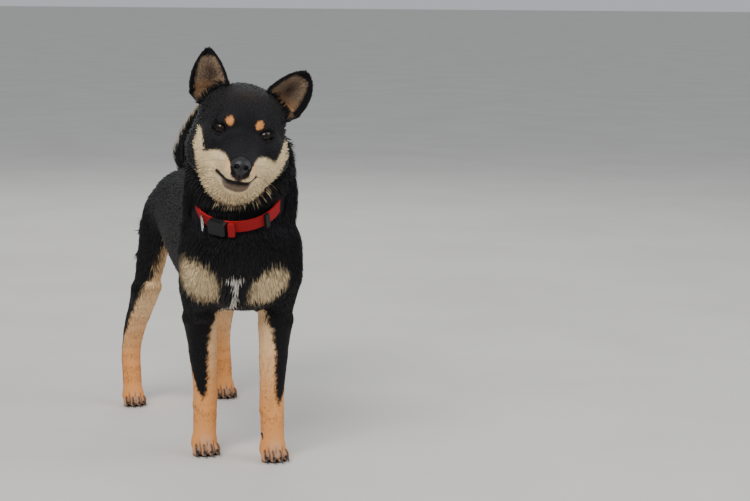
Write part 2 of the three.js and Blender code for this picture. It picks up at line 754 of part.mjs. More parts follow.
function roundedPlate(width, height, thick, corner, grow) {
  const shape = new THREE.Shape();
  const [w, h] = [width / 2 + grow, height / 2 + grow];
  shape.moveTo(-w + corner, -h);
  shape.lineTo(w - corner, -h);
  shape.absarc(w - corner, -h + corner, corner, -Math.PI / 2, 0);
  shape.absarc(w - corner, h - corner, corner, 0, Math.PI / 2);
  shape.absarc(-w + corner, h - corner, corner, Math.PI / 2, Math.PI);
  shape.absarc(-w + corner, -h + corner, corner, Math.PI, Math.PI * 1.5);
  const depth = thick + grow;
  return new THREE.ExtrudeGeometry(shape, { depth, bevelEnabled: false, curveSegments: 2 });
}

function ringGeometry(grow) {
  const WIRE = 1.6;
  const STEPS = 14;
  const ROUND = 5;
  const TURNED = -0.75; // out of the plane of the band, radians
  const bow = new THREE.EllipseCurve(0, 0, 9, 11.5);
  const rings = [];
  for (let i = 0; i < STEPS; i++) {
    const p = bow.getPoint(i / STEPS);
    const out = new Vector3(p.x, p.y, 0).normalize();
    const ring = [];
    for (let j = 0; j < ROUND; j++) {
      const a = (2 * Math.PI * j) / ROUND;
      ring.push(
        new Vector3(p.x, p.y, 0)
          .addScaledVector(out, Math.cos(a) * (WIRE + grow))
          .add(new Vector3(0, 0, Math.sin(a) * (WIRE + grow))),
      );
    }
    rings.push(ring);
  }
  const loop = closedLoop(rings);
  loop.rotateY(TURNED);
  loop.translate(0, 0, 8);
  return loop;
}

const FITTINGS = [
  {
    name: "collar_buckle",
    material: BLACK_PLASTIC,
    make: (grow) => onBand(roundedPlate(26, 23, 8, 5, grow), -127),
  },
  {
    name: "collar_slide",
    material: BLACK_PLASTIC,
    make: (grow) => onBand(roundedPlate(7, 22, 4.5, 2, grow), -64),
  },
  {
    name: "collar_loop",
    material: RED_WEBBING,
    make: (grow) => onBand(roundedPlate(9, 20, 6.5, 1.5, grow).translate(0, -2, 0), -110),
  },
  {
    name: "collar_ring",
    material: STEEL,
    make: (grow) => onBand(ringGeometry(grow), -145),
  },
];

// Assembly
const dog = new THREE.Group();
const headFrame = new Matrix4()
  .makeRotationZ(HEAD_YAW)
  .multiply(new Matrix4().makeRotationY(HEAD_ROLL))
  .multiply(new Matrix4().makeRotationX(HEAD_PITCH));
headFrame.setPosition(EYE_MIDPOINT);
const inBody = (solid) => toSolid(toGeometry(solid).applyMatrix4(headFrame));

function place(name, solid, material, parent = dog) {
  const mesh = new THREE.Mesh(toGeometry(solid), material);
  mesh.name = name;
  parent.add(mesh);
}

const headGroup = new THREE.Group();
headGroup.applyMatrix4(headFrame);
dog.add(headGroup);

const head = makeHead().add(unite(ruffLocks()));
const headCut = toSolid(headSkin(GAP));
const headAndRuffCut = headCut.add(unite(ruffLocks(GAP)));
place("head", head, BLACK_COAT, headGroup);
place("nose", makeNose(headCut), NOSE_LEATHER, headGroup);
for (const [side, word] of [[RIGHT, "right"], [LEFT, "left"]]) {
  place(`eye_${word}`, makeEye(side), EYE_GLOSS, headGroup);
  place(`ear_${word}`, makeEar(side, headCut), EAR_SKIN, headGroup);
}

const torso = torsoBody(0);
const torsoCut = torsoBody(GAP);
const headCutInBody = inBody(headAndRuffCut);
const groove = collarRing(-GAP, COLLAR.thick + GAP, COLLAR.width / 2 + GAP);
const pressed = FITTINGS.map((fitting) => fitting.make(GAP)).reduce((all, one) => all.add(one), groove);
place("torso", torso.subtract(pressed), BLACK_COAT);

const neckShape = (grow) => toSolid(sweepBody(neckStations(), { steps: 10, sides: 20, grow }));
place("neck", neckShape(0).subtract(torsoCut).subtract(headCutInBody).subtract(pressed), BLACK_COAT);
const neckCut = neckShape(GAP);

place("collar_band", collarRing(0, COLLAR.thick, COLLAR.width / 2), RED_WEBBING);

for (const [side, word] of [[RIGHT, "right"], [LEFT, "left"]]) {
  const fore = toSolid(sweepBody(forelegStations(side), { steps: 14, sides: 12 }));
  const shoulder = fore
    .intersect(above(ELBOW_HEIGHT))
    .subtract(torsoCut)
    .subtract(neckCut)
    .subtract(pressed);
  const forearm = fore
    .intersect(below(ELBOW_HEIGHT - GAP))
    .intersect(above(PASTERN_HEIGHT))
    .subtract(torsoCut);
  const paw = fore
    .intersect(below(PASTERN_HEIGHT - GAP))
    .add(unite(toes(new Vector3(FORE_PAW[side].x, FORE_PAW[side].y, 0), 1)))
    .add(toSolid(dewclaw(side)))
    .intersect(above(0))
    .intersect(below(PASTERN_HEIGHT - GAP));
  place(`shoulder_${word}`, shoulder, BLACK_COAT);
  place(`foreleg_${word}`, forearm, TAN_COAT);
  place(`forepaw_${word}`, paw, TAN_COAT);

  const hind = toSolid(sweepBody(hindlegStations(side), { steps: 14, sides: 12 }));
  const breeches = unite(breechLocks(side));
  const thigh = hind
    .intersect(above(STIFLE_HEIGHT))
    .add(breeches)
    .intersect(above(STIFLE_HEIGHT))
    .subtract(torsoCut);
  const shank = hind
    .intersect(below(STIFLE_HEIGHT - GAP))
    .intersect(above(HOCK_FOOT_HEIGHT))
    .subtract(torsoCut);
  const foot = hind
    .intersect(below(HOCK_FOOT_HEIGHT - GAP))
    .add(unite(toes(new Vector3(HIND_PAW[side].x, HIND_PAW[side].y, 0), 0.92)))
    .intersect(above(0))
    .intersect(below(HOCK_FOOT_HEIGHT - GAP));
  place(`thigh_${word}`, thigh, BLACK_COAT);
  place(`hindleg_${word}`, shank, TAN_COAT);
  place(`hindpaw_${word}`, foot, TAN_COAT);
}

const tailCore = sweepBody(tailStations(), { steps: 14, sides: 8, share: TAIL_CORE });
const tailRoot = ellipsoid(new Vector3(4, 376, 350), new Vector3(25, 25, 25), { wide: 10, high: 8 });
place("tail", unite([tailCore, tailRoot, ...tailLocks()]).subtract(torsoCut), BLACK_COAT);

FITTINGS.forEach(({ name, material, make }) => place(name, make(0), material));

// The origin is on the floor, under the middle of the whole dog's box
const part = new THREE.Group();
part.add(dog);
part.updateMatrixWorld(true);
const box = new THREE.Box3().setFromObject(dog, true);
dog.position.set(-(box.min.x + box.max.x) / 2, -(box.min.y + box.max.y) / 2, -box.min.z);

export default part;
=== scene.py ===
"""The looks of a black and tan shiba inu around its solids: skin, coat, face, feet and collar."""
import json
import math
from contextlib import contextmanager
from types import SimpleNamespace

import bmesh
import bpy
import numpy as np
from mathutils import Matrix, Vector
from mathutils.bvhtree import BVHTree

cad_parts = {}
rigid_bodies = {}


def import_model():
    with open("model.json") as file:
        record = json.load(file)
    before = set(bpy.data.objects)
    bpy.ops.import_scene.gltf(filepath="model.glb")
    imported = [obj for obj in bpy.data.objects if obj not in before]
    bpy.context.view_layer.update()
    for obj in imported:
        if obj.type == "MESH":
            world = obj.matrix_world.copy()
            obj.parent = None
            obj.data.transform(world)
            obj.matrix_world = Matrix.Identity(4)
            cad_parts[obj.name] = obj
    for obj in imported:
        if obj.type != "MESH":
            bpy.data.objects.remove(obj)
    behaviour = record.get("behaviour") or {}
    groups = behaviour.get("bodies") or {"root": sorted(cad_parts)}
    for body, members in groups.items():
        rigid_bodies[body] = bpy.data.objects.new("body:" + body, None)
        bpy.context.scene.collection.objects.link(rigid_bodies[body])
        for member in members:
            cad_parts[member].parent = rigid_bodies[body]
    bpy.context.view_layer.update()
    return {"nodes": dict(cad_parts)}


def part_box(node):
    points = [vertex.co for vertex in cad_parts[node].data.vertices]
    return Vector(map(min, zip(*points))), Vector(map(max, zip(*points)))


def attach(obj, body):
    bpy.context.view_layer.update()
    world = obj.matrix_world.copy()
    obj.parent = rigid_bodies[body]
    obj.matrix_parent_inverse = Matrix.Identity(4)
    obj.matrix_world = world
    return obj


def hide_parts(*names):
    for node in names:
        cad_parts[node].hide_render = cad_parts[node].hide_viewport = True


MM = 0.001

for default in list(bpy.data.objects):
    bpy.data.objects.remove(default)

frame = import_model()
nodes = frame["nodes"]


def middle(node):
    low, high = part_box(node)
    return (low + high) / 2


# The head's own frame: its origin is midway between the eyes, x to the dog's left, y back and z up
HEAD_YAW = math.radians(-10.5)
HEAD_ROLL = math.radians(9.5)
HEAD_PITCH = math.radians(1)
EYES = (middle("eye_right") + middle("eye_left")) / 2
EYE_SPACING = (middle("eye_right") - middle("eye_left")).length / MM
EYE_RADIUS = (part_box("eye_left")[1].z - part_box("eye_left")[0].z) / 2 / MM
HEAD_TURN = np.array(
    Matrix.Rotation(HEAD_YAW, 3, "Z")
    @ Matrix.Rotation(HEAD_ROLL, 3, "Y")
    @ Matrix.Rotation(HEAD_PITCH, 3, "X")
)

# The body's frame in millimetres: z from the floor, y back from the front toes, x from the dog's middle
EYES_IN_BODY = np.array([-18.0, -65.0, 466.0])
BODY_ORIGIN = np.array(EYES) - EYES_IN_BODY * MM


def to_body(points):
    return (np.asarray(points) - BODY_ORIGIN) / MM


def from_body(points):
    return np.asarray(points) * MM + BODY_ORIGIN


def to_head(points):
    return (np.asarray(points) - np.array(EYES)) @ HEAD_TURN / MM


def from_head(points):
    return np.asarray(points) * MM @ HEAD_TURN.T + np.array(EYES)


# Small numeric helpers
def fade(value, low, high):
    """0 up to low, 1 from high on and smooth between them."""
    t = np.clip((value - low) / (high - low), 0, 1)
    return t * t * (3 - 2 * t)


def spot(*axes):
    """1 at a place and less around it. Each axis is a value, its middle and its half width."""
    return np.exp(-sum(((value - centre) / width) ** 2 for value, centre, width in axes))


def turned(x, y, angle):
    c, s = np.cos(angle), np.sin(angle)
    return x * c - y * s, x * s + y * c


def unit(vectors):
    return vectors / np.maximum(np.linalg.norm(vectors, axis=-1, keepdims=True), 1e-9)


def square_to(normals, vectors):
    """The vectors' directions, without what they have along the normals."""
    return unit(vectors - normals * (vectors * normals).sum(axis=1, keepdims=True))


def rows_of(items, name, width, kind=np.float32):
    """One property of every item of a mesh, a row for each."""
    flat = np.empty(len(items) * width, kind)
    items.foreach_get(name, flat)
    return flat.reshape(-1, width)


def vertices_of(mesh):
    return rows_of(mesh.vertices, "co", 3).astype(float)


def normals_of(mesh):
    return rows_of(mesh.vertex_normals, "vector", 3).astype(float)


def set_vertices(mesh, co):
    mesh.vertices.foreach_set("co", co.astype(np.float32).ravel())
    mesh.update()


@contextmanager
def editing(mesh):
    """The mesh's vertices, edges and faces to change, which are written back at the end."""
    bm = bmesh.new()
    bm.from_mesh(mesh)
    yield bm
    bm.to_mesh(mesh)
    bm.free()
    mesh.update()


def joined(name, meshes):
    result = bpy.data.meshes.new(name)
    with editing(result) as bm:
        for mesh in meshes:
            bm.from_mesh(mesh)
    return result


def add_object(name, data):
    obj = bpy.data.objects.new(name, data)
    bpy.context.scene.collection.objects.link(obj)
    return obj


# The head as one smooth blend, as in the part's source, in the head's millimetres
NOSE_TIP = 88
NOSE_BACK = 26 - NOSE_TIP
SKULL_TOP = 64
THROAT_DEPTH = 106
LID_RADIUS = 12.4


def ellipsoid_distance(p, centre, radii):
    q = (p - centre) / radii
    k0 = np.linalg.norm(q, axis=1)
    k1 = np.linalg.norm(q / radii, axis=1)
    return k0 * (k0 - 1) / np.maximum(k1, 1e-6)


def bar_distance(p, a, b, radius_a, radius_b):
    a, b = np.array(a, float), np.array(b, float)
    t = np.clip((p - a) @ (b - a) / ((b - a) @ (b - a)), 0, 1)
    return np.linalg.norm(p - a - t[:, None] * (b - a), axis=1) - (radius_a + (radius_b - radius_a) * t)


def blend(a, b, k):
    h = np.clip(0.5 + 0.5 * (b - a) / k, 0, 1)
    return b + (a - b) * h - k * h * (1 - h)


# The balls of the skull, cheeks, throat and brows: middle, radii and how softly each joins the others
HEAD_BALLS = (
    ((0, 27, 14), (43, 40, 37), 14),
    ((37, 42, -30), (35, 46, 40), 16),
    ((0, 36, -56), (50, 44, THROAT_DEPTH - 56), 16),
    ((35, 12, -16), (24, 26, 22), 12),
    ((19, -3, 13), (13, 11, 10), 8),
)


def head_distance(points):
    p = np.abs(points * (1, 0, 0)) + points * (0, 1, 1)
    d = ellipsoid_distance(p, (0, 54, SKULL_TOP - 55), (61, 67, 55))
    for centre, radii, soft in HEAD_BALLS:
        d = blend(d, ellipsoid_distance(p, centre, radii), soft)
    d = blend(d, bar_distance(p, (0, 6, -27), (0, NOSE_BACK, -41), 36, 20.5), 14)
    d = blend(d, bar_distance(p, (0, 10, -58), (0, NOSE_BACK + 6, -60), 32, 15.5), 8)
    d = blend(d, ellipsoid_distance(p, (11, NOSE_BACK + 2, -46), (12, 17, 12)), 5)
    return blend(d, ellipsoid_distance(p, (EYE_SPACING / 2, 0, 0), (LID_RADIUS,) * 3), 6)


SLOPE_STEP = 0.4


def slope(field, points):
    """The direction in which a field rises most."""
    rises = [field(points + step) - field(points - step) for step in SLOPE_STEP * np.eye(3)]
    return unit(np.stack(rises, axis=1))


# One skin over head, neck, body and limbs
SIDE = {"right": -1, "left": 1}
LIMBS = ("shoulder", "foreleg", "forepaw", "thigh", "hindleg", "hindpaw")
FLESH = ["head", "neck", "torso"] + [f"{part}_{word}" for word in SIDE for part in LIMBS]
EARS = ["ear_right", "ear_left"]
VOXEL = 2.5 * MM
EAR_VOXEL = 1.3 * MM

# The coat of each part: how far the skin lies inside its outline (mm, less the 3 or so that smoothing takes
# off a leg), its lie, and its tufts' length and width (mm), lift at the root (radians) and layers
COAT = {
    "head": (3.5, (0, 1, 0), (8, 1.3, 0.44, 3.5)),
    "ear": (0, (0, 0, 1), (4.6, 0.95, 0.36, 2.7)),
    "neck": (6, (0, 0.6, -0.8), (21, 1.95, 0.4, 8.2)),
    "torso": (2.8, (0, 1, -0.42), (16, 1.7, 0.29, 5.0)),
    "shoulder": (5, (0, 0.4, -0.92), (14, 1.6, 0.29, 6.0)),
    "foreleg": (-1.2, (0, 0.15, -1), (6.5, 1.15, 0.23, 3.3)),
    "forepaw": (1.2, (0, -0.8, -0.6), (3.8, 0.85, 0.25, 2.2)),
    "thigh": (5, (0, 0.45, -0.9), (14, 1.6, 0.28, 6.0)),
    "hindleg": (-0.9, (0, 0.2, -1), (7, 1.15, 0.23, 3.3)),
    "hindpaw": (1.2, (0, -0.8, -0.6), (3.8, 0.85, 0.25, 2.2)),
    "tail": (0, (0, 0, 1), (33, 2.5, 0.7, 24.0)),
}


def coat_of(part, column):
    """One column of the coat's table for every part in a list."""
    return np.array([COAT[name][column] for name in part], float)


def remeshed(mesh, name, voxel):
    obj = add_object(name, mesh)
    remesh = obj.modifiers.new("even", "REMESH")
    remesh.mode = "VOXEL"
    remesh.voxel_size = voxel
    smooth = obj.modifiers.new("soft", "SMOOTH")
    smooth.iterations = 4
    smooth.factor = 0.5
    bpy.context.view_layer.update()
    result = bpy.data.meshes.new_from_object(obj.evaluated_get(bpy.context.evaluated_depsgraph_get()))
    bpy.data.objects.remove(obj)
    return result


def solid_finder(names):
    """A function that names the solid to which each place on the skin belongs."""
    points, faces, owners = [], [], []
    for name in names:
        mesh = nodes[name].data
        faces += [[len(points) + i for i in polygon.vertices] for polygon in mesh.polygons]
        owners += [name] * len(mesh.polygons)
        points += [v.co.copy() for v in mesh.vertices]
    tree = BVHTree.FromPolygons(points, faces)
    return lambda co: np.array([owners[tree.find_nearest(Vector(p))[2]] for p in co])


def part_of(owners):
    return np.array([name.removesuffix("_right").removesuffix("_left") for name in owners])


def edge_average(mesh, values, rounds):
    """Values of the vertices, evened out along the edges."""
    if values.ndim > 1:
        return np.stack([edge_average(mesh, axis, rounds) for axis in values.T], axis=1)
    a, b = rows_of(mesh.edges, "vertices", 2, np.int64).T
    count = np.bincount(a, minlength=len(values)) + np.bincount(b, minlength=len(values))
    for _ in range(rounds):
        total = np.bincount(a, values[b], len(values)) + np.bincount(b, values[a], len(values))
        values = 0.5 * values + 0.5 * total / np.maximum(count, 1)
    return values


# The lids open as an almond, in the plane that faces along the gaze
GAZE_TURN = 0.2
EYE_SLANT = 0.3
LID_HALF_LENGTH = 8.7
LID_UPPER = 2.4
LID_LOWER = 2.1
LID_DEPTH = 6.0
LIP_DEPTH = 3.0


def face_detail(p):
    """How far the bare head is pushed in (mm) to open the lids and to part the lips."""
    inside = -almond(*lid_coordinates(p))
    lids = LID_DEPTH * fade(inside, 0.0, 1.2) * fade(-p[:, 1], -2, 4)
    ahead, over = lip_coordinates(p)
    return lids + LIP_DEPTH * (spot((over, 0, 1.5)) * ahead)


def lid_coordinates(p):
    """How far along and up the lids a place of the head lies (mm)."""
    side = np.where(p[:, 0] < 0, -1.0, 1.0)
    x, _ = turned(p[:, 0] - side * EYE_SPACING / 2, p[:, 1], -side * GAZE_TURN)
    return turned(x, p[:, 2], -side * EYE_SLANT)


def almond(along, up):
    """How far outside the opening of the lids a place lies (mm), and less than 0 inside."""
    share = np.clip(np.abs(along) / LID_HALF_LENGTH, 0, 1)
    reach = np.where(up > 0, LID_UPPER, LID_LOWER) * (1 - share**2)
    return np.where(np.abs(along) < LID_HALF_LENGTH, np.abs(up) - reach, 3.0)


# The line between the lips runs from one corner of the mouth round the front to the other
MOUTH_CORNER = (33, -6, -54)
MOUTH_FRONT = (-72, -60)
MOUTH_LENGTH = MOUTH_CORNER[1] - MOUTH_FRONT[0]


def mouth_point(angle):
    """A point on the line, by its angle: 0 in front, a quarter turn either way at the corners."""
    cosine = np.maximum(np.cos(angle), 0)
    x = MOUTH_CORNER[0] * np.sin(angle)
    y = MOUTH_CORNER[1] - MOUTH_LENGTH * cosine
    z = MOUTH_CORNER[2] + (MOUTH_FRONT[1] - MOUTH_CORNER[2]) * cosine**0.7
    return np.stack([x, y, z], axis=-1)


def lip_coordinates(p):
    """Whether a place is ahead of the mouth's corners, and its height over the line (mm)."""
    angle = np.arctan2(p[:, 0] / MOUTH_CORNER[0], -(p[:, 1] - MOUTH_CORNER[1]) / MOUTH_LENGTH)
    return p[:, 1] <= MOUTH_CORNER[1], p[:, 2] - mouth_point(angle)[:, 2]


# Smooth curves through a few places
def spline(rows, count):
    """A Catmull-Rom curve through the rows, sampled evenly in its own parameter."""
    rows = np.asarray(rows, float)
    padded = np.vstack([2 * rows[0] - rows[1], rows, 2 * rows[-1] - rows[-2]])
    at = np.linspace(0, len(rows) - 1 - 1e-9, count)
    k = at.astype(int)
    t = (at - k)[:, None]
    a, b, c, d = padded[k], padded[k + 1], padded[k + 2], padded[k + 3]
    return 0.5 * (2 * b + (c - a) * t + (2 * a - 5 * b + 4 * c - d) * t**2 + (3 * b - a - 3 * c + d) * t**3)


def along_curve(points):
    """Unit directions along a line of points."""
    return unit(np.gradient(points, axis=0))


def wall(rows, sides, closed=False):
    """Faces between rows of vertices. A closed wall joins its last row to its first."""
    faces = []
    for i in range(rows if closed else rows - 1):
        for j in range(sides):
            k, m = (j + 1) % sides, (i + 1) % rows
            faces.append((i * sides + j, i * sides + k, m * sides + k, m * sides + j))
    return faces


def tube(points, radii, sides=10, flat=1.0):
    """Vertices and faces of a closed tube. flat squeezes it across its second axis."""
    forward = along_curve(points)
    guide = np.array([0.0, 0.0, 1.0]) if abs(forward[:, 2]).mean() < 0.8 else np.array([1.0, 0.0, 0.0])
    across = unit(np.cross(forward, guide))
    second = np.cross(across, forward)
    turn = 2 * np.pi * np.arange(sides) / sides
    rings = (
        points[:, None, :]
        + across[:, None, :] * (np.cos(turn)[None, :, None] * radii[:, None, None])
        + second[:, None, :] * (np.sin(turn)[None, :, None] * radii[:, None, None] * flat)
    )
    last = (len(points) - 1) * sides
    ends = [tuple(reversed(range(sides))), tuple(range(last, last + sides))]
    return rings.reshape(-1, 3), wall(len(points), sides) + ends


# The tail rises from the croup and curls over the back to the dog's left: x, y, z and the coat's radius
TAIL = [
    (2, 362, 338, 22),
    (8, 392, 370, 29),
    (20, 400, 408, 31),
    (36, 380, 443, 32),
    (54, 340, 463, 32),
    (70, 298, 454, 31),
    (80, 274, 424, 27),
    (79, 272, 398, 17),
    (76, 277, 384, 6),
]
TAIL_CORE = 0.55  # the share of the coat's radius that is flesh
TAIL_LINE, TAIL_RADIUS = np.split(spline(TAIL, 120), [3], axis=1)
TAIL_AHEAD = along_curve(TAIL_LINE)


def nearest_on_tail(p):
    return np.linalg.norm(p[:, None] - TAIL_LINE[None], axis=2).argmin(axis=1)


# Where the feet stand, in the body's millimetres
FORE_PAW = {"right": (-43, 54), "left": (42, -5)}
HIND_PAW = {"right": (-81, 396), "left": (71, 418)}
FORE_LEAN = {"right": -5, "left": 2}


def foreleg_axis(word, z):
    x, y = FORE_PAW[word]
    stride = y - (FORE_PAW["right"][1] + FORE_PAW["left"][1]) / 2
    heights = [18, 36, 58, 86, 122, 162, 200]
    lean = FORE_LEAN[word]
    out = np.interp(z, heights, [0, 0, lean / 2, lean, lean + 2, lean + 5, lean + 9])
    back = np.interp(z, heights, [26, 31, 38, 42, 43, 45, 48])
    share = np.interp(z, heights, [1, 1, 1, 1, 0.95, 0.85, 0.7])
    return x + SIDE[word] * out, back + stride * share


def hindleg_axis(word, z):
    x, y = HIND_PAW[word]
    heights = [14, 26, 44, 72, 104, 140, 182, 222]
    out = np.interp(z, heights, [0, 0, 0, 0, -2, -5, -10, -14])
    back = np.interp(z, heights, [2, 10, 18, 24, 20, -4, -38, -56])
    return x + SIDE[word] * out, y + back


# The collar's own frame: x to the dog's left, y back, z up the neck; its band is an ellipse in x and y
COLLAR_CENTRE = (-6, 13, 369)
COLLAR_HALF_WIDTH = 59
COLLAR_HALF_DEPTH = 64
COLLAR_WIDTH = 17
COLLAR_TILT = 0.5
COLLAR_ROLL = -0.2
COLLAR_TURN = np.array(Matrix.Rotation(COLLAR_TILT, 3, "X") @ Matrix.Rotation(COLLAR_ROLL, 3, "Y"))


def to_collar(p):
    return (p - COLLAR_CENTRE) @ COLLAR_TURN


def from_collar(p):
    return p @ COLLAR_TURN.T + COLLAR_CENTRE


def collar_share(c):
    """How far out a place in the collar's frame lies, 1 at the band."""
    return np.hypot(c[:, 0] / COLLAR_HALF_WIDTH, c[:, 1] / COLLAR_HALF_DEPTH)


# Building the skin
def collar_filler():
    """Fills the band's hollow in the neck. In front, where the band lies on the coat, it stays inside."""
    mesh = joined("filler", [nodes["collar_band"].data])
    q = to_collar(to_body(vertices_of(mesh)))
    q[:, :2] *= 1 - 0.3 * fade(-q[:, 1] / COLLAR_HALF_DEPTH, 0.0, 0.5)[:, None]
    set_vertices(mesh, from_body(from_collar(q)))
    return mesh


# The toes: their places beside and ahead of the paw's centre, and how far each turns outwards
TOES = ((-14.4, -8, -0.16), (-5, -14, -0.05), (5, -14, 0.05), (14.4, -8, 0.16))
TOE_RADII = np.array([5.9, 13, 10])
TOE_HEIGHT = 9.2
TOE_DROP = 0.24

# The toes' size, how far behind the paw's centre the leg comes down and leaves it, and its radii there
FORE_SHAPE = (1.0, (1.5, 17.5), (17.2, 17.4))
HIND_SHAPE = (0.92, (8, 26), (15.6, 15.0))


def toe_places(scale):
    for x, y, turn in TOES:
        yield x * scale, y * scale, turn


def each_paw():
    for word in SIDE:
        yield f"forepaw_{word}", FORE_PAW[word], (*FORE_SHAPE, SIDE[word] * FORE_LEAN[word])
        yield f"hindpaw_{word}", HIND_PAW[word], (*HIND_SHAPE, 0.0)


def paw_distance(p, centre, shape):
    """Four toes, the hand behind them and the leg above, in the body's millimetres."""
    scale, back, thick, lean = shape
    q = p - (*centre, 0.0)
    d = ellipsoid_distance(q, (0, 5 * scale, 15 * scale), (18 * scale, 20 * scale, 17 * scale))
    d = blend(d, bar_distance(q, (0, back[0], 16), (lean, back[1], 84), *thick), 8)
    for x, y, turn in toe_places(scale):
        toe = q - (x, y, TOE_HEIGHT * scale)
        across, along = turned(toe[:, 0], toe[:, 1], -turn)
        along, up = turned(along, toe[:, 2], -TOE_DROP)
        toe = np.stack([across, along, up], axis=1)
        d = blend(d, ellipsoid_distance(toe, (0, 0, 0), TOE_RADII * scale), 1.6)
    return d


def largest_shell(mesh):
    """Deletes every closed surface but the largest."""
    with editing(mesh) as bm:
        seen, shells = set(), []
        for seed in bm.verts:
            if seed in seen:
                continue
            seen.add(seed)
            shell, stack = [], [seed]
            while stack:
                vertex = stack.pop()
                shell.append(vertex)
                fresh = {edge.other_vert(vertex) for edge in vertex.link_edges} - seen
                seen |= fresh
                stack += fresh
            shells.append(shell)
        shells.sort(key=len)
        bmesh.ops.delete(bm, geom=[v for shell in shells[:-1] for v in shell], context="VERTS")


def add_tail_core(mesh):
    radii = np.maximum(TAIL_RADIUS[:, 0] * TAIL_CORE, 2.5)
    vertices, faces = tube(from_body(TAIL_LINE), radii * MM, 16)
    with editing(mesh) as bm:
        made = [bm.verts.new(v) for v in vertices]
        for face in faces:
            bm.faces.new([made[i] for i in face])


def head_depth(p):
    """The coat's depth on the head (mm): least on the muzzle, most at the throat and behind the cheeks."""
    x, y, z = p.T
    back = fade(y, -40, 50)
    low = fade(-z, 40, 95)
    cheek = fade(np.abs(x), 30, 60)
    return 1.1 + 2.6 * back + 3.2 * low * fade(y, -30, 20) + 2.2 * cheek * back


def split_face_and_paws(mesh):
    """Halves the faces of the face and the toes, so that lids, lips and toes have a fine skin."""
    with editing(mesh) as bm:
        co = np.array([v.co for v in bm.verts])
        x, y, z = to_head(co).T
        fine = (y < 16) & (z > -80) & (z < 34) & (np.abs(x) < 50)
        fine |= to_body(co)[:, 2] < 28
        edges = [e for e in bm.edges if fine[e.verts[0].index] and fine[e.verts[1].index]]
        bmesh.ops.subdivide_edges(bm, edges=edges, cuts=1, use_grid_fill=True)


def soften(mesh, chosen, rounds):
    """Smooths the chosen places, which takes the facets of the solids out of the broad parts."""
    share = edge_average(mesh, chosen.astype(float), 6)[:, None]
    co = vertices_of(mesh)
    set_vertices(mesh, co + (edge_average(mesh, co, rounds) - co) * share)


def pull(points, shape, target, share, rounds):
    """Moves places along the shape's slope towards where the target is 0, each by its share."""
    for _ in range(rounds):
        points = points - slope(shape, points) * (target(points) * share * 0.8)[:, None]
    return points


def head_target(p):
    return head_distance(p) + head_depth(p) + face_detail(p)


# Rounds of smoothing for the broad parts, the thighs and the seams of the upper limbs
BROAD_ROUNDS = 40
THIGH_ROUNDS = 60
SEAM_ROUNDS = 80
SHRINK_STEPS = 4

# Heights (mm), the paws' reach round their middle, which lies behind the toes, and their coat's depth
UPPER_LEG = 150
SEAM_TOP = 270
PAW_TOP = 72
SOLE_HEIGHT = 0.6
PAW_REACH = 52
PAW_MIDDLE = 16
PAW_COAT = 0.9


def build_body():
    flesh = joined("body", [nodes[name].data for name in FLESH] + [collar_filler()])
    add_tail_core(flesh)
    mesh = remeshed(flesh, "body", VOXEL)
    largest_shell(mesh)
    owner_of = solid_finder(FLESH + ["tail"])
    co = vertices_of(mesh)
    part = part_of(owner_of(co))
    depth = edge_average(mesh, coat_of(part, 0), 24)

    # The broad parts, the thighs and the seams between the upper limbs and the body
    height = to_body(co)[:, 2]
    broad = np.isin(part, ["thigh", "torso", "neck", "shoulder"])
    soften(mesh, broad | np.isin(part, ["foreleg", "hindleg"]) & (height > UPPER_LEG), BROAD_ROUNDS)
    soften(mesh, part == "thigh", THIGH_ROUNDS)
    upper = edge_average(mesh, np.isin(part, ["thigh", "shoulder", "torso"]).astype(float), 30)
    soften(mesh, (upper > 0.12) & (upper < 0.88) & (height < SEAM_TOP), SEAM_ROUNDS)

    # Inwards by the coat's depth
    co = vertices_of(mesh)
    for _ in range(SHRINK_STEPS):
        co = co - normals_of(mesh) * (depth / SHRINK_STEPS)[:, None] * MM
        co = edge_average(mesh, co, 3)
        set_vertices(mesh, co)

    # Onto the smooth head and paws
    split_face_and_paws(mesh)
    co = vertices_of(mesh)
    on_head = (owner_of(co) == "head").astype(float)
    p = to_head(co)
    on_head *= fade(-np.abs(head_distance(p) + head_depth(p)), -14, -7)
    on_head = edge_average(mesh, on_head, 6)
    chosen = np.flatnonzero(on_head > 0.01)
    p[chosen] = pull(p[chosen], head_distance, head_target, on_head[chosen], 8)
    co = from_head(p)
    for _, centre, shape in each_paw():
        x, y, z = to_body(co).T
        away = np.hypot(x - centre[0], y - centre[1] - PAW_MIDDLE)
        near = np.flatnonzero((away < PAW_REACH) & (z < PAW_TOP))
        paw = to_body(co[near])
        share = fade(-paw[:, 2], -PAW_TOP, -50)

        def toes(q):
            return paw_distance(q, centre, shape)

        paw = pull(paw, toes, lambda q: toes(q) + PAW_COAT, share, 6)
        paw[:, 2] = np.maximum(paw[:, 2], SOLE_HEIGHT)
        co[near] = from_body(paw)
    set_vertices(mesh, co)
    return mesh


# The ears' places on the head: the inner and outer end of the base, and the tip, as on the dog's left
EAR_PLACE = {
    "right": ((25, 43, 55), (73, 58, 30), (63, 32, 101)),
    "left": ((25, 43, 57), (71, 60, 22), (75, 32, 91)),
}
EAR_ROOT = np.array([12.0, 58.0, 4.0])


def build_ear(word):
    """The ear, with its base drawn down into the skull."""
    mesh = joined(f"ear_{word}", [nodes[f"ear_{word}"].data])
    p = to_head(vertices_of(mesh))
    base = fade(-head_distance(p), -2.5, -1.0)[:, None]
    root = EAR_ROOT * (SIDE[word], 1, 1)
    p = p + (root - p) * base * 0.45
    set_vertices(mesh, from_head(p))
    return remeshed(mesh, f"ear_{word}", EAR_VOXEL)


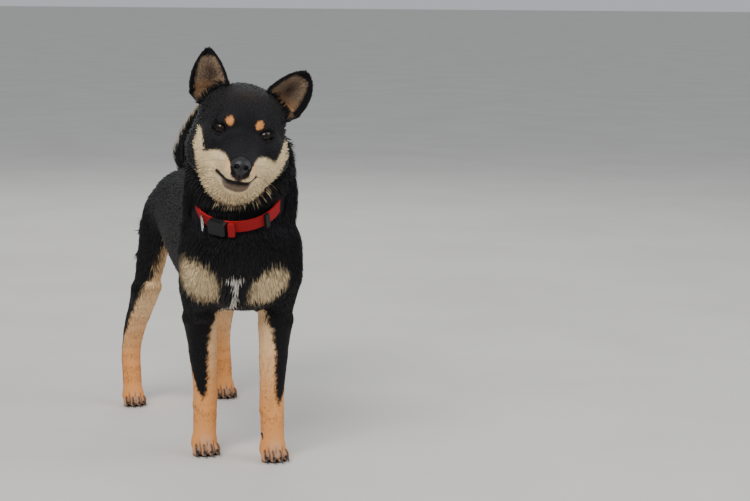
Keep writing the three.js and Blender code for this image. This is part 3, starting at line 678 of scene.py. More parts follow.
def ear_coordinates(p, word):
    """How far up the ear a point of the head lies, and how far across it, -1 and 1 at its edges."""
    q = p * (SIDE[word], 1, 1)
    inner, outer, tip = np.array(EAR_PLACE[word], float)
    foot = (inner + outer) / 2
    up = (q - foot) @ (tip - foot) / ((tip - foot) @ (tip - foot))
    sideways = unit(outer - inner)
    half = np.linalg.norm(outer - inner) / 2 * np.maximum(0.06, 1 - np.clip(up, 0, 1) ** 1.75) ** 0.72
    across = (q - foot - up[:, None] * (tip - foot)) @ sideways / half
    return up, across


def build_skin():
    mesh = joined("skin", [build_body(), build_ear("right"), build_ear("left")])
    mesh.shade_smooth()
    return add_object("skin", mesh)


def unwrap(obj):
    layer = obj.data.uv_layers.new(name="OFBake")
    layer.active = True
    bpy.context.view_layer.objects.active = obj
    obj.select_set(True)
    bpy.ops.object.mode_set(mode="EDIT")
    bpy.ops.mesh.select_all(action="SELECT")
    bpy.ops.uv.smart_project(angle_limit=math.radians(72), island_margin=0.001)
    bpy.ops.object.mode_set(mode="OBJECT")
    obj.select_set(False)


skin = build_skin()
unwrap(skin)


# Colours, linear
BLACK = (0.0065, 0.006, 0.0072)
# A grey for the tips of black hair: partly their own colour, partly a painted sheen
GREY_TIP_AND_SHEEN = (0.022, 0.021, 0.027)
BROWN_BLACK = (0.03, 0.014, 0.011)
CREAM = (0.93, 0.72, 0.43)
TAN = (0.72, 0.3, 0.092)
WHITE = (0.82, 0.77, 0.68)
CHIN_GREY = (0.06, 0.036, 0.036)
TOE_GREY = (0.5, 0.38, 0.3)
EAR_INSIDE = (0.4, 0.285, 0.19)
EAR_FOOT = (0.58, 0.33, 0.17)
# Painted shade for the middle of the ear's hollow
EAR_HOLLOW_SHADE = (0.06, 0.034, 0.03)


def wobble(p, size):
    """Smooth repeatable noise, about -1 to 1, with waves of about that size (mm)."""
    x, y, z = (p * (2 * np.pi / size)).T
    a = np.sin(x + 1.7 * np.sin(y * 0.7 + 0.5)) * np.cos(z * 1.1 + 0.8 * np.sin(x * 0.6))
    b = np.sin(y * 1.3 + 2.1 + np.sin(z * 0.9)) * np.cos(x * 0.8 + z * 0.5)
    return 0.6 * a + 0.4 * b


def plain(colour, places):
    return np.tile(colour, (len(places), 1))


def mix(base, *layers):
    """The base with other colours laid over it, each as a colour and its share."""
    for colour, share in layers:
        share = np.clip(share, 0, 1)[:, None]
        base = base * (1 - share) + np.array(colour) * share
    return base


# The mask's upper and lower edge: places across the face and their heights (mm)
MASK_TOP = (
    (0, 11, 15, 21, 33, 45, 49, 53, 57, 61, 66),
    (-58, -51, -34, -27, -27, -33, -20, -6, -4, -34, -80),
)
MASK_FOOT = ((0, 18, 34, 44, 51, 57, 62), (-104, -98, -84, -68, -52, -36, -20))


def face_colour(p, base):
    """The mask, brows, cheeks, lips and throat. p is in the head's millimetres."""
    x, y, z = p.T
    side = np.abs(x)
    noise = wobble(p, 9) * 1.6 + wobble(p, 4) * 0.8
    across = side * np.where(x > 0, 0.92, 1.0)
    pale = fade(np.interp(across, *MASK_TOP) - z + noise, -2.0, 3.0)
    pale *= fade(z - np.interp(across, *MASK_FOOT) + noise, -3.0, 4.0)
    pale *= fade(-y + noise, -44, -34)
    near_nose = spot((side, 14, 9), (y, -62, 22), (z, -38, 12))
    # Painted sheen: the top of the muzzle is made lighter with the grey of the hair tips
    muzzle_top_sheen = fade(-y, 20, 50) * fade(z, -34, -24)
    brow = ((side - 19.5) / 5.0) ** 2 + ((z - 12.8) / 5.9) ** 2
    brow = fade(1.35 - brow + 0.05 * noise, 0, 0.75) * (y < 10)
    ahead, over = lip_coordinates(p)
    lips = spot((over, 0, 2.6)) * ahead * fade(-y, 2, 12)
    chin = fade(-y, 26, 44) * fade(-z, 59.5, 61.5) * fade(z, -75, -71)
    under_nose = fade(-y, 58, 66) * fade(-side, -7, -3)
    crown = spot((x, 0, 20), (y, 8, 16), (z, 50, 14))
    return mix(
        base,
        (CREAM, pale),
        (TAN, 0.65 * near_nose * pale),
        (GREY_TIP_AND_SHEEN, 0.15 * muzzle_top_sheen * (1 - pale)),
        (TAN, brow),
        (BLACK, 0.93 * lips),
        (CHIN_GREY, 0.85 * chin),
        (CHIN_GREY, 0.6 * under_nose * (z > -61) * (z < -40)),
        (BROWN_BLACK, 0.8 * crown),
    )


def ear_inside(p, n, word):
    """1 in the ear's open side, 0 on its rim and its back."""
    up, across = ear_coordinates(p, word)
    front = fade(-n[:, 1], 0.0, 0.35)
    inside = front * fade(0.82 - np.abs(across) + 0.06 * wobble(p, 8), 0, 0.2)
    return inside * fade(0.8 - up, 0, 0.14) * fade(up, -0.25, 0.0)


def ear_colour(p, n, word, base):
    up, across = ear_coordinates(p, word)
    inside = ear_inside(p, n, word)
    foot = inside * fade(0.25 - up, 0, 0.25)
    # Painted shade darkens the middle of the ear's hollow
    hollow_shade = spot((across + 0.05 + 0.1 * wobble(p, 12), 0, 0.4), (up, 0.32, 0.34))
    return mix(base, (EAR_INSIDE, inside), (EAR_FOOT, foot), (EAR_HOLLOW_SHADE, 0.85 * hollow_shade * inside))


# The pale patches of the forechest: place (mm), half width, half height and slant
CHEST_PATCHES = ((-64, 264, 26, 30, -0.6), (25, 259, 30, 25, 0.4))


def chest_colour(p, n, base):
    """Two pale patches over the forechest and a white stripe between the legs."""
    x, y, z = p.T
    noise = wobble(p, 16) * 0.16 + wobble(p, 7) * 0.1
    front = fade(-n[:, 1], -0.1, 0.45) * (y < 60)
    for patch_x, patch_z, wide, high, slant in CHEST_PATCHES:
        across = x - patch_x
        patch = (across / wide) ** 2 + ((z - patch_z - slant * across) / high) ** 2
        base = mix(base, (CREAM, 0.9 * front * fade(1.3 - patch + noise * 2.2, 0, 1.0)))
    stripe = fade(1.2 - ((x + 19) / 2.5) ** 2 + noise, 0, 0.6)
    stripe *= fade(z + 20 * noise, 200, 212)
    stripe *= fade(276 - z, 0, 6)
    bow = ((x + 21) / 11.5) ** 2 + ((z - 268 - 0.02 * (x + 21) ** 2) / 3.2) ** 2
    stripe = np.maximum(stripe, fade(1.2 - bow + noise, 0, 0.5))
    return mix(base, (WHITE, 0.95 * stripe * front))


# The black of the legs: down the front and outside to a point over the wrist, and down the back and
# outside to a point over the foot. Its width and direction round the leg go with the height (mm, radians)
FORELEG = SimpleNamespace(
    parts=("foreleg", "forepaw", "shoulder"),
    axis=foreleg_axis,
    facing=-1,
    grain=(12, 5),
    half=((78, 92, 130, 160, 190, 215, 240), (0.0, 0.5, 0.95, 1.25, 1.65, 2.1, 3.4)),
    direction=((82, 150, 220), (0.4, 0.95, 1.15)),
    soft=0.2,
    foot=76,
    pale=(60, 200, 0.6),
    top=(232, 24),
)
HINDLEG = SimpleNamespace(
    parts=("hindleg", "hindpaw", "thigh"),
    axis=hindleg_axis,
    facing=1,
    grain=(14, 6),
    half=((48, 80, 130, 190, 240, 290, 320), (0.0, 0.55, 1.05, 1.4, 1.8, 2.5, 3.5)),
    direction=((48, 130, 240), (0.9, 1.2, 1.6)),
    soft=0.25,
    foot=46,
    pale=(50, 190, 0.65),
    top=(312, 30),
)


def leg_colour(p, word, leg):
    """Tan, paler upwards, with the black of the leg."""
    x, y, z = p.T
    axis_x, axis_y = leg.axis(word, z)
    turn = np.arctan2(SIDE[word] * (x - axis_x), leg.facing * (y - axis_y))
    noise = 0.16 * wobble(p, leg.grain[0]) + 0.1 * wobble(p, leg.grain[1])
    from_middle = turn - np.interp(z, *leg.direction)
    away = np.abs((from_middle + np.pi) % (2 * np.pi) - np.pi)
    black = fade(np.interp(z, *leg.half) - away + noise, -0.12, leg.soft) * (z > leg.foot)
    low, high, most = leg.pale
    return mix(plain(TAN, p), (CREAM, fade(z + 8 * noise, low, high) * most), (BLACK, black))


def paw_colour(p, base, centre, scale):
    """Tan toes that grey towards the nails, with painted shade in the gaps between them and a dark pencil
    mark on each.
    """
    x, y, z = (p - (*centre, 0.0)).T
    layers = [(TOE_GREY, 0.55 * fade(-y, 8 * scale, 20 * scale))]
    front = fade(-y, 4 * scale, 12 * scale) * fade(-z, -27, -15)
    # Painted shade in the gaps between the toes
    for shaded_gap in (-9.7, 0.0, 9.7):
        layers.append((BROWN_BLACK, 0.7 * front * spot((x, shaded_gap * scale, 1.1))))
    for toe_x, toe_y, turn in toe_places(scale):
        line = x - toe_x + turn * (y - toe_y)
        mark = spot((line, 0, 1.9)) * fade(z, 6, 10) * fade(-(y - toe_y), 0, 5)
        layers.append((BLACK, 0.95 * mark))
    return mix(base, *layers)


MIDDLE_OF_CURL = np.array([40.0, 330.0, 395.0])


def tail_colour(p, base):
    """Black, with the pale underside turned outwards by the curl."""
    k = nearest_on_tail(p)
    away = unit(p - TAIL_LINE[k])
    outward = square_to(TAIL_AHEAD[k], unit(TAIL_LINE[k] - MIDDLE_OF_CURL))
    facing = (away * outward).sum(axis=1) + 0.12 * wobble(p, 15)
    along = k / len(TAIL_LINE)
    pale = fade(facing, 0.35, 0.8) * fade(along, 0.05, 0.2)
    pale = pale * fade(0.52 - along, 0, 0.15) * fade(away[:, 1], 0.1, 0.5)
    return mix(base, (CREAM, 0.9 * pale))


def coat_colour(co, normals, part, word):
    """The markings at places on the skin, in linear colour."""
    p, h = to_body(co), to_head(co)
    x, y, z = p.T
    # Black with some grey from the hair tips, partly their own colour and partly a painted sheen
    colour = mix(plain(BLACK, p), (GREY_TIP_AND_SHEEN, 0.12 + 0.12 * wobble(p, 30)))
    chest = np.isin(part, ["torso", "shoulder", "neck"])
    colour[chest] = chest_colour(p[chest], normals[chest], colour[chest])
    belly = fade(-normals[:, 2], 0.35, 0.8) * fade(y, 70, 120) * (part == "torso")
    colour = mix(colour, (CREAM, 0.85 * belly))
    face = (part == "head") | ((part == "neck") & (h[:, 1] < 34) & (h[:, 2] > -99))
    colour[face] = face_colour(h[face], colour[face])
    for name in SIDE:
        chosen = (part == "ear") & (word == name)
        colour[chosen] = ear_colour(h[chosen], normals[chosen] @ HEAD_TURN, name, colour[chosen])
        for leg in (FORELEG, HINDLEG):
            chosen = (word == name) & np.isin(part, leg.parts)
            top, soft = leg.top
            share = fade(top - z[chosen], 0, soft)[:, None]
            colour[chosen] = colour[chosen] * (1 - share) + leg_colour(p[chosen], name, leg) * share
    for name, centre, shape in each_paw():
        chosen = (part == part_of([name])[0]) & (word == name.split("_")[1])
        colour[chosen] = paw_colour(p[chosen], colour[chosen], centre, shape[0])
    tail = part == "tail"
    colour[tail] = tail_colour(p[tail], colour[tail])
    seat = fade(normals[:, 1], 0.3, 0.8) * spot((x, 0, 20)) * fade(318 - z, 0, 24)
    return mix(colour, (CREAM, 0.75 * seat * np.isin(part, ["torso", "thigh"])))


skin_co = vertices_of(skin.data)
skin_normal = normals_of(skin.data)
skin_owner = solid_finder(FLESH + EARS + ["tail"])(skin_co)
skin_part = part_of(skin_owner)
skin_word = np.array([name.rsplit("_", 1)[-1] for name in skin_owner])
skin_colour = coat_colour(skin_co, skin_normal, skin_part, skin_word)


def paint(mesh, colour):
    layer = mesh.color_attributes.new("coat", "FLOAT_COLOR", "POINT")
    rgba = np.concatenate([colour, np.ones((len(colour), 1))], axis=1)
    layer.data.foreach_set("color", rgba.astype(np.float32).ravel())


paint(skin.data, skin_colour)


# The lie of the coat
NOSE_RADII = (13.4, 13, 13.5)
NOSE_PLACE = np.array([0.0, NOSE_RADII[1] - NOSE_TIP, -37.0])


def coat_lie(co, normals, part, word):
    lie = coat_of(part, 1)
    p, h = to_body(co), to_head(co)
    head = part == "head"
    lie[head] = unit(h[head] - NOSE_PLACE) @ HEAD_TURN.T
    front = np.isin(part, ["torso", "neck"]) & (p[:, 1] < 70)
    share = fade(-normals[front, 1], -0.1, 0.5)[:, None]
    down = np.tile([0.0, 0.0, -1.0], (len(share), 1))
    down[:, 0] = 0.25 * np.sign(p[front, 0] + 19) * fade(290 - p[front, 2], 0, 40)
    lie[front] = lie[front] * (1 - share) + down * share
    for name in SIDE:
        ear = (part == "ear") & (word == name)
        inner, outer, tip = np.array(EAR_PLACE[name], float) * (SIDE[name], 1, 1)
        lie[ear] = unit(tip - (inner + outer) / 2) @ HEAD_TURN.T
    toes = np.isin(part, ["forepaw", "hindpaw"])
    share = fade(p[toes, 2], 22, 36)[:, None]
    lie[toes] = lie[toes] * (1 - share) + coat_of(["foreleg"], 1) * share
    tail = part == "tail"
    lie[tail] = TAIL_AHEAD[nearest_on_tail(p[tail])]
    return square_to(normals, lie)


skin_lie = coat_lie(skin_co, skin_normal, skin_part, skin_word)
skin_lie = edge_average(skin.data, skin_lie, 8)


def tuft_measures():
    """Length, width, lift and density over the skin, blended from part to part."""
    length, width, lift, layers = coat_of(skin_part, 2).T
    x, y, z = to_head(skin_co).T
    height = to_body(skin_co)[:, 2]
    side, backward = np.abs(x), skin_normal[:, 1]

    # The head
    head = skin_part == "head"
    muzzle = fade(-y, -14, 30)
    back = fade(y, 10, 60)
    low = fade(-z, 45, 95) * fade(y, -30, 10)
    cheek = fade(side, 36, 62) * fade(y, 0, 40) * fade(-z, 0, 30)
    temple = fade(side, 40, 56) * fade(y, 14, 48) * fade(-z, -48, -22)
    face_length = 5.8 - 2.4 * muzzle + 5 * back + 11 * low + 9 * np.maximum(cheek, 0.9 * temple)
    length = np.where(head, face_length, length)
    lift = np.where(head, lift + 0.22 * temple, lift)
    width = np.where(head, 0.85 + 0.075 * face_length, width)

    # The breeches and the elbows
    rear = (skin_part == "thigh") & (backward > 0.25)
    breeches = np.where(rear, fade(backward, 0.25, 0.8) * fade(height, 180, 225), 0)
    length = length + 8 * breeches
    width = width + 0.3 * breeches
    layers = layers * (1 + breeches)
    elbow = (skin_part == "foreleg") & (backward > 0.3)
    length = np.where(elbow, length + 4 * fade(height, 90, 190), length)

    # The ears
    for name in SIDE:
        ear = np.flatnonzero((skin_part == "ear") & (skin_word == name))
        inside = ear_inside(to_head(skin_co[ear]), skin_normal[ear] @ HEAD_TURN, name)
        length[ear] += 5.5 * inside
        width[ear] -= 0.2 * inside
        lift[ear] += 0.25 * inside
    ears = skin_part == "ear"
    blended = []
    for field in (length, width, lift, layers):
        field = edge_average(skin.data, field, 12)
        blended.append(np.where(ears, field, edge_average(skin.data, field, 24)))
    length, width, lift, layers = blended
    return length, width, lift, layers / (length * width)


tuft_length, tuft_width, tuft_lift, tuft_density = tuft_measures()


def bare_places(co, normals, part):
    """Where no tuft grows: the soles, the lids' opening, the lips, the nose and under the band in front."""
    p, h = to_body(co), to_head(co)
    bare = (p[:, 2] < 2.5) & (normals[:, 2] < -0.3)
    head = part == "head"
    along, up = lid_coordinates(h)
    lids = (h[:, 1] < 4) & head & (np.abs(along) < LID_HALF_LENGTH + 1) & (np.abs(up) < 6)
    bare |= lids & (almond(along, up) < 1.0)
    ahead, over = lip_coordinates(h)
    bare |= head & ahead & (np.abs(over) < 1.4)
    bare |= ellipsoid_distance(h, NOSE_PLACE, NOSE_RADII) < 0.8
    c = to_collar(p)
    out = collar_share(c)
    bare |= (np.abs(c[:, 2]) < COLLAR_WIDTH / 2 + 1) & (out > 0.6) & (out < 1.12) & (c[:, 1] < 0)
    return bare


def scatter(rng):
    """The tufts' roots, as dense on the skin as it asks for, with what it says at each."""
    mesh = skin.data
    mesh.calc_loop_triangles()
    corners = rows_of(mesh.loop_triangles, "vertices", 3, np.int64)
    loops = rows_of(mesh.loop_triangles, "loops", 3, np.int64)
    a, b, c = skin_co[corners[:, 0]], skin_co[corners[:, 1]], skin_co[corners[:, 2]]
    area = np.linalg.norm(np.cross(b - a, c - a), axis=1) / 2 / MM**2
    wanted = np.cumsum(area * tuft_density[corners].mean(axis=1))
    total = int(wanted[-1])
    at = (np.arange(total) + rng.uniform(0, 1, total)) * wanted[-1] / total
    chosen = np.minimum(np.searchsorted(wanted, at), len(corners) - 1)
    u, v = rng.uniform(0, 1, total), rng.uniform(0, 1, total)
    over = u + v > 1
    u[over], v[over] = 1 - u[over], 1 - v[over]
    weights = np.stack([1 - u - v, u, v], axis=1)
    corner = corners[chosen]
    nearest = corner[np.arange(total), weights.argmax(axis=1)]

    def at_root(values):
        shares = weights if values.ndim == 1 else weights[:, :, None]
        return (values[corner] * shares).sum(axis=1)

    uv = rows_of(mesh.uv_layers["OFBake"].data, "uv", 2)[loops[chosen]]
    normal = unit(at_root(skin_normal))
    return SimpleNamespace(
        co=at_root(skin_co),
        normal=normal,
        lie=square_to(normal, at_root(skin_lie)),
        length=at_root(tuft_length),
        width=at_root(tuft_width),
        lift=at_root(tuft_lift),
        uv=(uv * weights[:, :, None]).sum(axis=1),
        part=skin_part[nearest],
        word=skin_word[nearest],
    )


def pick(growth, chosen):
    return SimpleNamespace(**{name: values[chosen] for name, values in vars(growth).items()})


PATCH = 0.003  # each tuft's patch on the unwrap
STRAY = 0.075  # how far neighbouring tufts' colours mix at a marking's edge, as a share of their length
SUNK = 0.9  # how deep the roots sit in the skin (mm)
RING_WIDTHS = (0.8, 1.0, 0.7)
RIDGE = 0.62  # a tuft's height as a share of its half width
STRAIGHTENING = 0.75  # how much of the lift is gone at the tip
FLOOR = 0.1 * MM

# How the tufts differ in length, width, lift, direction and lightness, and the root from the tip
LENGTHS = (0.8, 1.12)
WIDTHS = (0.75, 1.25)
LIFTS = (0.7, 1.25)
SWING = 0.12
VALUES = (0.72, 1.22)
ROOT_VALUE = 0.78
TIP_VALUE = 1.12
# The spread of the grey at the dark tufts' tips, partly their own colour and partly a painted sheen
TIP_GREY_AND_SHEEN_RANGE = (0.35, 1.5)


def tuft_faces(rings):
    """One tuft's faces: its walls, its foot and the three at its tip."""
    last = 3 * (rings - 1)
    tip = [(last + j, last + (j + 1) % 3, 3 * rings) for j in range(3)]
    return wall(rings, 3) + [(2, 1, 0)] + tip


def tuft_mesh(name, g, rng, rings):
    """Closed, three-sided, tapered tufts that leave the skin and bend back along it."""
    n = len(g.co)
    length = g.length * rng.uniform(*LENGTHS, n)
    width = g.width * rng.uniform(*WIDTHS, n)
    swing = rng.normal(0, SWING, n)[:, None]
    side = np.cross(g.lie, g.normal)
    ahead = g.lie * np.cos(swing) + side * np.sin(swing)
    side = np.cross(ahead, g.normal)
    lift = (g.lift * rng.uniform(*LIFTS, n))[:, None]
    at = g.co - g.normal * SUNK * MM
    step = (length / rings * MM)[:, None]
    places = []
    for i in range(rings):
        scale = (width / 2 * RING_WIDTHS[i] * MM)[:, None]
        tilt = lift * (1 - STRAIGHTENING * i / rings)
        ridge = g.normal * np.cos(tilt) - ahead * np.sin(tilt)
        places += [at + side * scale, at + ridge * scale * RIDGE, at - side * scale]
        bend = lift * (1 - STRAIGHTENING * (i + 0.5) / rings)
        at = at + (ahead * np.cos(bend) + g.normal * np.sin(bend)) * step
    places.append(at)
    vertices = np.stack(places, axis=1).reshape(-1, 3)
    vertices[:, 2] = np.maximum(vertices[:, 2], FLOOR)

    faces = tuft_faces(rings)
    starts = range(0, len(vertices), 3 * rings + 1)
    mesh = bpy.data.meshes.new(name)
    mesh.from_pydata(vertices, [], [tuple(start + i for i in face) for start in starts for face in faces])
    mesh.validate()
    mesh.shade_smooth()

    # One small patch of the unwrap for each tuft
    layer = mesh.uv_layers.new(name="OFBake")
    row = np.repeat(np.arange(rings + 1), [3] * rings + [1])
    lane = np.array([0, 1, 2] * rings + [1])
    patch = np.stack([lane / 2 - 0.5, row / rings - 0.5], axis=1) * PATCH
    uv = (g.uv[:, None, :] + patch[None, :, :]).reshape(-1, 2)
    corners = rows_of(mesh.loops, "vertex_index", 1, np.int32)[:, 0]
    layer.data.foreach_set("uv", uv[corners].astype(np.float32).ravel())

    # The marking at the root, darker there than at the tip, and a little different on each tuft
    astray = rng.normal(0, STRAY, (n, 3)) * g.length[:, None] * MM
    colour = coat_colour(g.co + astray, g.normal, g.part, g.word)
    value = rng.uniform(*VALUES, n)[:, None]
    dark = fade(0.1 - colour.mean(axis=1, keepdims=True), 0, 0.08)
    root = colour * value * (ROOT_VALUE - 0.16 * dark)
    # Dark tufts get grey tips, partly their own colour and partly a painted sheen
    tip_grey_and_sheen = np.array(GREY_TIP_AND_SHEEN) * rng.uniform(*TIP_GREY_AND_SHEEN_RANGE, n)[:, None]
    tip = (colour * value * TIP_VALUE) * (1 - 0.5 * dark) + tip_grey_and_sheen * 0.3 * dark
    shades = np.stack([root + (tip - root) * (i / rings) for i in row], axis=1)
    paint(mesh, np.clip(shades.reshape(-1, 3), 0, 1))
    return add_object(name, mesh)


# Where the buckle lies round the band (degrees), and how far it stands over it (mm)
BUCKLE_FROM = -150
BUCKLE_TO = -96
BUCKLE_STANDS = 3.0


def clear_of_collar(growth):
    """Shortens a tuft that would lie over the band in front, and more so over the buckle."""
    c = to_collar(to_body(growth.co))
    reach = to_collar(to_body(growth.co + growth.lie * (growth.length * 1.1 * MM)[:, None]))
    angle = np.degrees(np.arctan2(c[:, 1], c[:, 0]))
    buckle = (angle < BUCKLE_TO) & (angle > BUCKLE_FROM)
    half = COLLAR_WIDTH / 2 + np.where(buckle, BUCKLE_STANDS, 0.0)
    front = (c[:, 1] < 0) & (collar_share(c) > 0.5) & (np.abs(c[:, 2]) < 45)
    crossing = front & (c[:, 2] > half) & (reach[:, 2] < half)
    room = (c[:, 2] - half) / np.maximum(c[:, 2] - reach[:, 2], 1e-6)
    growth.length = np.where(crossing, growth.length * np.clip(room + 0.1, 0.22, 1), growth.length)


rng = np.random.default_rng(7)
growth = scatter(rng)
growth = pick(growth, ~bare_places(growth.co, growth.normal, growth.part))
clear_of_collar(growth)

# The pieces of the coat
COAT_PIECES = {
    "coat_head": ("head",),
    "coat_ears": ("ear",),
    "coat_neck": ("neck",),
    "coat_torso": ("torso",),
    "coat_shoulders": ("shoulder",),
    "coat_forelegs": ("foreleg",),
    "coat_thighs": ("thigh",),
    "coat_hindlegs": ("hindleg",),
    "coat_feet": ("forepaw", "hindpaw"),
    "coat_tail": ("tail",),
}
LONG = ("coat_neck", "coat_tail")
MOST_TRIANGLES = 195000
coat = []

for name, parts in COAT_PIECES.items():
    rings = 3 if name in LONG else 2
    most = MOST_TRIANGLES // (6 * rings - 2)
    chosen = np.flatnonzero(np.isin(growth.part, parts))
    chosen = chosen[np.argsort(growth.co[chosen, 1], kind="stable")]
    count = math.ceil(len(chosen) / most)
    for k, group in enumerate(np.array_split(chosen, count)):
        coat.append(tuft_mesh(f"{name}_{k + 1}", pick(growth, group), rng, rings))


# Materials
class Look:
    """A material in the making. An input that gets another node's output is linked, and any other set."""

    def __init__(self, name, rough, specular=0.4, metallic=0.0):
        self.material = bpy.data.materials.new(name)
        self.material.use_nodes = True
        self.tree = self.material.node_tree
        self.shader = self.tree.nodes["Principled BSDF"]
        self.put(self.shader, {"Roughness": rough, "Specular IOR Level": specular, "Metallic": metallic})

    def put(self, node, inputs):
        for name, value in inputs.items():
            if isinstance(value, bpy.types.NodeSocket):
                self.tree.links.new(value, node.inputs[name])
            else:
                node.inputs[name].default_value = value

    def add(self, kind, inputs, **settings):
        node = self.tree.nodes.new("ShaderNode" + kind)
        for name, value in settings.items():
            setattr(node, name, value)
        self.put(node, inputs)
        return node

    def place(self):
        return self.add("TexCoord", {}).outputs["Object"]

    def marks(self):
        return self.add("Attribute", {}, attribute_name="coat").outputs["Color"]

    def noise(self, place, scale, detail=3.0):
        return self.add("TexNoise", {"Scale": scale, "Detail": detail, "Vector": place}).outputs

    def ramp(self, factor, low, high, ends=(0.0, 1.0)):
        node = self.add("ValToRGB", {"Fac": factor})
        for element, colour, end in zip(node.color_ramp.elements, (low, high), ends):
            element.position = end
            element.color = (*colour, 1)
        return node.outputs["Color"]

    def blend(self, kind, share, a, b):
        inputs = {"Factor": share, "A": a, "B": b}
        return self.add("Mix", inputs, data_type="RGBA", blend_type=kind).outputs["Result"]

    def bump(self, height, strength, distance):
        node = self.add("Bump", {"Strength": strength, "Distance": distance, "Height": height})
        self.put(self.shader, {"Normal": node.outputs["Normal"]})

    def finish(self, colour):
        self.put(self.shader, {"Base Color": colour})
        return self.material


HAIR_STRETCH = (1.0, 0.35, 0.35)


def coat_material(name, scale, strength, sheen):
    """The coat's own colours, varied a little from hair to hair."""
    look = Look(name, 0.58, 0.09)
    look.put(look.shader, {"Sheen Weight": sheen, "Sheen Roughness": 0.5})
    stretched = look.add("Mapping", {"Scale": HAIR_STRETCH, "Vector": look.place()}).outputs["Vector"]
    noise = look.noise(stretched, scale, 4.0)["Fac"]
    look.bump(noise, strength, 0.0006)
    shades = look.ramp(noise, (0.86, 0.86, 0.86), (1.1, 1.1, 1.1))
    return look.finish(look.blend("MULTIPLY", 1.0, look.marks(), shades))


def mottled(name, dark, light, scale, rough, specular=0.4, metallic=0.0, bump=0.2):
    """A colour that varies softly between two, with a fine relief."""
    look = Look(name, rough, specular, metallic)
    noise = look.noise(look.place(), scale)["Fac"]
    look.bump(noise, bump, 0.0004)
    return look.finish(look.ramp(noise, dark, light, (0.35, 0.65)))


skin.data.materials.append(coat_material("short_coat", 900, 0.5, 0.02))
COAT_LOOK = coat_material("coat", 500, 0.15, 0.05)
for piece in coat:
    piece.data.materials.append(COAT_LOOK)


# Pieces of their own
def add_mesh(name, shapes, material):
    """One piece made of closed shapes, each with its vertices and faces."""
    vertices, faces = [], []
    for places, linked in shapes:
        faces += [tuple(len(vertices) + i for i in face) for face in linked]
        vertices += [tuple(place) for place in places]
    mesh = bpy.data.meshes.new(name)
    mesh.from_pydata(vertices, [], faces)
    mesh.validate()
    obj = add_object(name, mesh)
    with editing(mesh) as bm:
        bmesh.ops.recalc_face_normals(bm, faces=bm.faces)
    mesh.shade_smooth()
    mesh.materials.append(material)
    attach(obj, "root")
    return obj


def ball(rows, columns):
    """A unit sphere with its pole along -y."""
    vertices = [(0.0, -1.0, 0.0)]
    for i in range(1, rows):
        polar = math.pi * i / rows
        for j in range(columns):
            turn = 2 * math.pi * j / columns
            out = math.sin(polar)
            vertices.append((out * math.cos(turn), -math.cos(polar), out * math.sin(turn)))
    vertices.append((0.0, 1.0, 0.0))
    last, end = 1 + (rows - 2) * columns, len(vertices) - 1
    faces = [(0, 1 + (j + 1) % columns, 1 + j) for j in range(columns)]
    faces += [tuple(1 + i for i in face) for face in wall(rows - 1, columns)]
    faces += [(last + j, last + (j + 1) % columns, end) for j in range(columns)]
    return np.array(vertices), faces


# Eyes: the cornea bulges a little, round a dark brown iris and a black pupil
IRIS = 6.4
PUPIL = 3.0
EYE_DARK = (0.006, 0.004, 0.004)
IRIS_BROWN = (0.022, 0.009, 0.004)
PUPIL_BLACK = (0.002, 0.002, 0.002)
CORNEA = (0.05, 26)  # how far it bulges, as a share of the eye's radius, and how wide it is (degrees)


def eye_material():
    look = Look("eye", 0.1, 0.4)
    noise = look.noise(look.place(), 700)["Color"]
    return look.finish(look.blend("SOFT_LIGHT", 0.5, look.marks(), noise))


def add_eye(word, material):
    unit_ball, faces = ball(40, 48)
    gaze = np.array(Matrix.Rotation(SIDE[word] * GAZE_TURN, 3, "Z"))
    off_axis = np.degrees(np.arccos(np.clip(-unit_ball[:, 1], -1, 1)))
    bulge = 1 + CORNEA[0] * spot((off_axis, 0, CORNEA[1]))
    local = unit_ball * (EYE_RADIUS * bulge)[:, None]
    centre = (SIDE[word] * EYE_SPACING / 2, 0, 0)
    shape = (from_head(local @ gaze.T + centre), faces)
    obj = add_mesh(f"eyeball_{word}", [shape], material)
    out = np.hypot(local[:, 0], local[:, 2])
    iris = fade(-out, -IRIS - 0.6, -IRIS)
    pupil = fade(-out, -PUPIL - 0.4, -PUPIL)
    rear = unit_ball[:, 1] > 0
    paint(obj.data, mix(plain(EYE_DARK, out), (IRIS_BROWN, iris), (PUPIL_BLACK, pupil), (EYE_DARK, rear)))
    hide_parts(f"eye_{word}")


def lid_line(word):
    """The edge of the opening, on a ball just outside the eye."""
    turn = 2 * np.pi * np.arange(64) / 64
    along = LID_HALF_LENGTH * np.cos(turn)
    up = np.where(np.sin(turn) > 0, LID_UPPER, -LID_LOWER) * (1 - (along / LID_HALF_LENGTH) ** 2)
    side = SIDE[word]
    x, z = turned(along, up, side * EYE_SLANT)
    y = -np.sqrt(np.maximum((EYE_RADIUS + 0.7) ** 2 - x**2 - z**2, 1.0))
    x, y = turned(x, y, side * GAZE_TURN)
    return np.stack([x + side * EYE_SPACING / 2, y, z], axis=1)


def ring_tube(points, radius):
    """A closed ring of tube along a closed line."""
    sides = 8
    forward = unit(np.roll(points, -1, axis=0) - np.roll(points, 1, axis=0))
    outward = square_to(forward, unit(points - points.mean(axis=0)))
    second = np.cross(forward, outward)
    turn = (2 * np.pi * np.arange(sides) / sides)[:, None]
    rings = points[:, None] + radius * (outward[:, None] * np.cos(turn) + second[:, None] * np.sin(turn))
    return rings.reshape(-1, 3), wall(len(points), sides, closed=True)


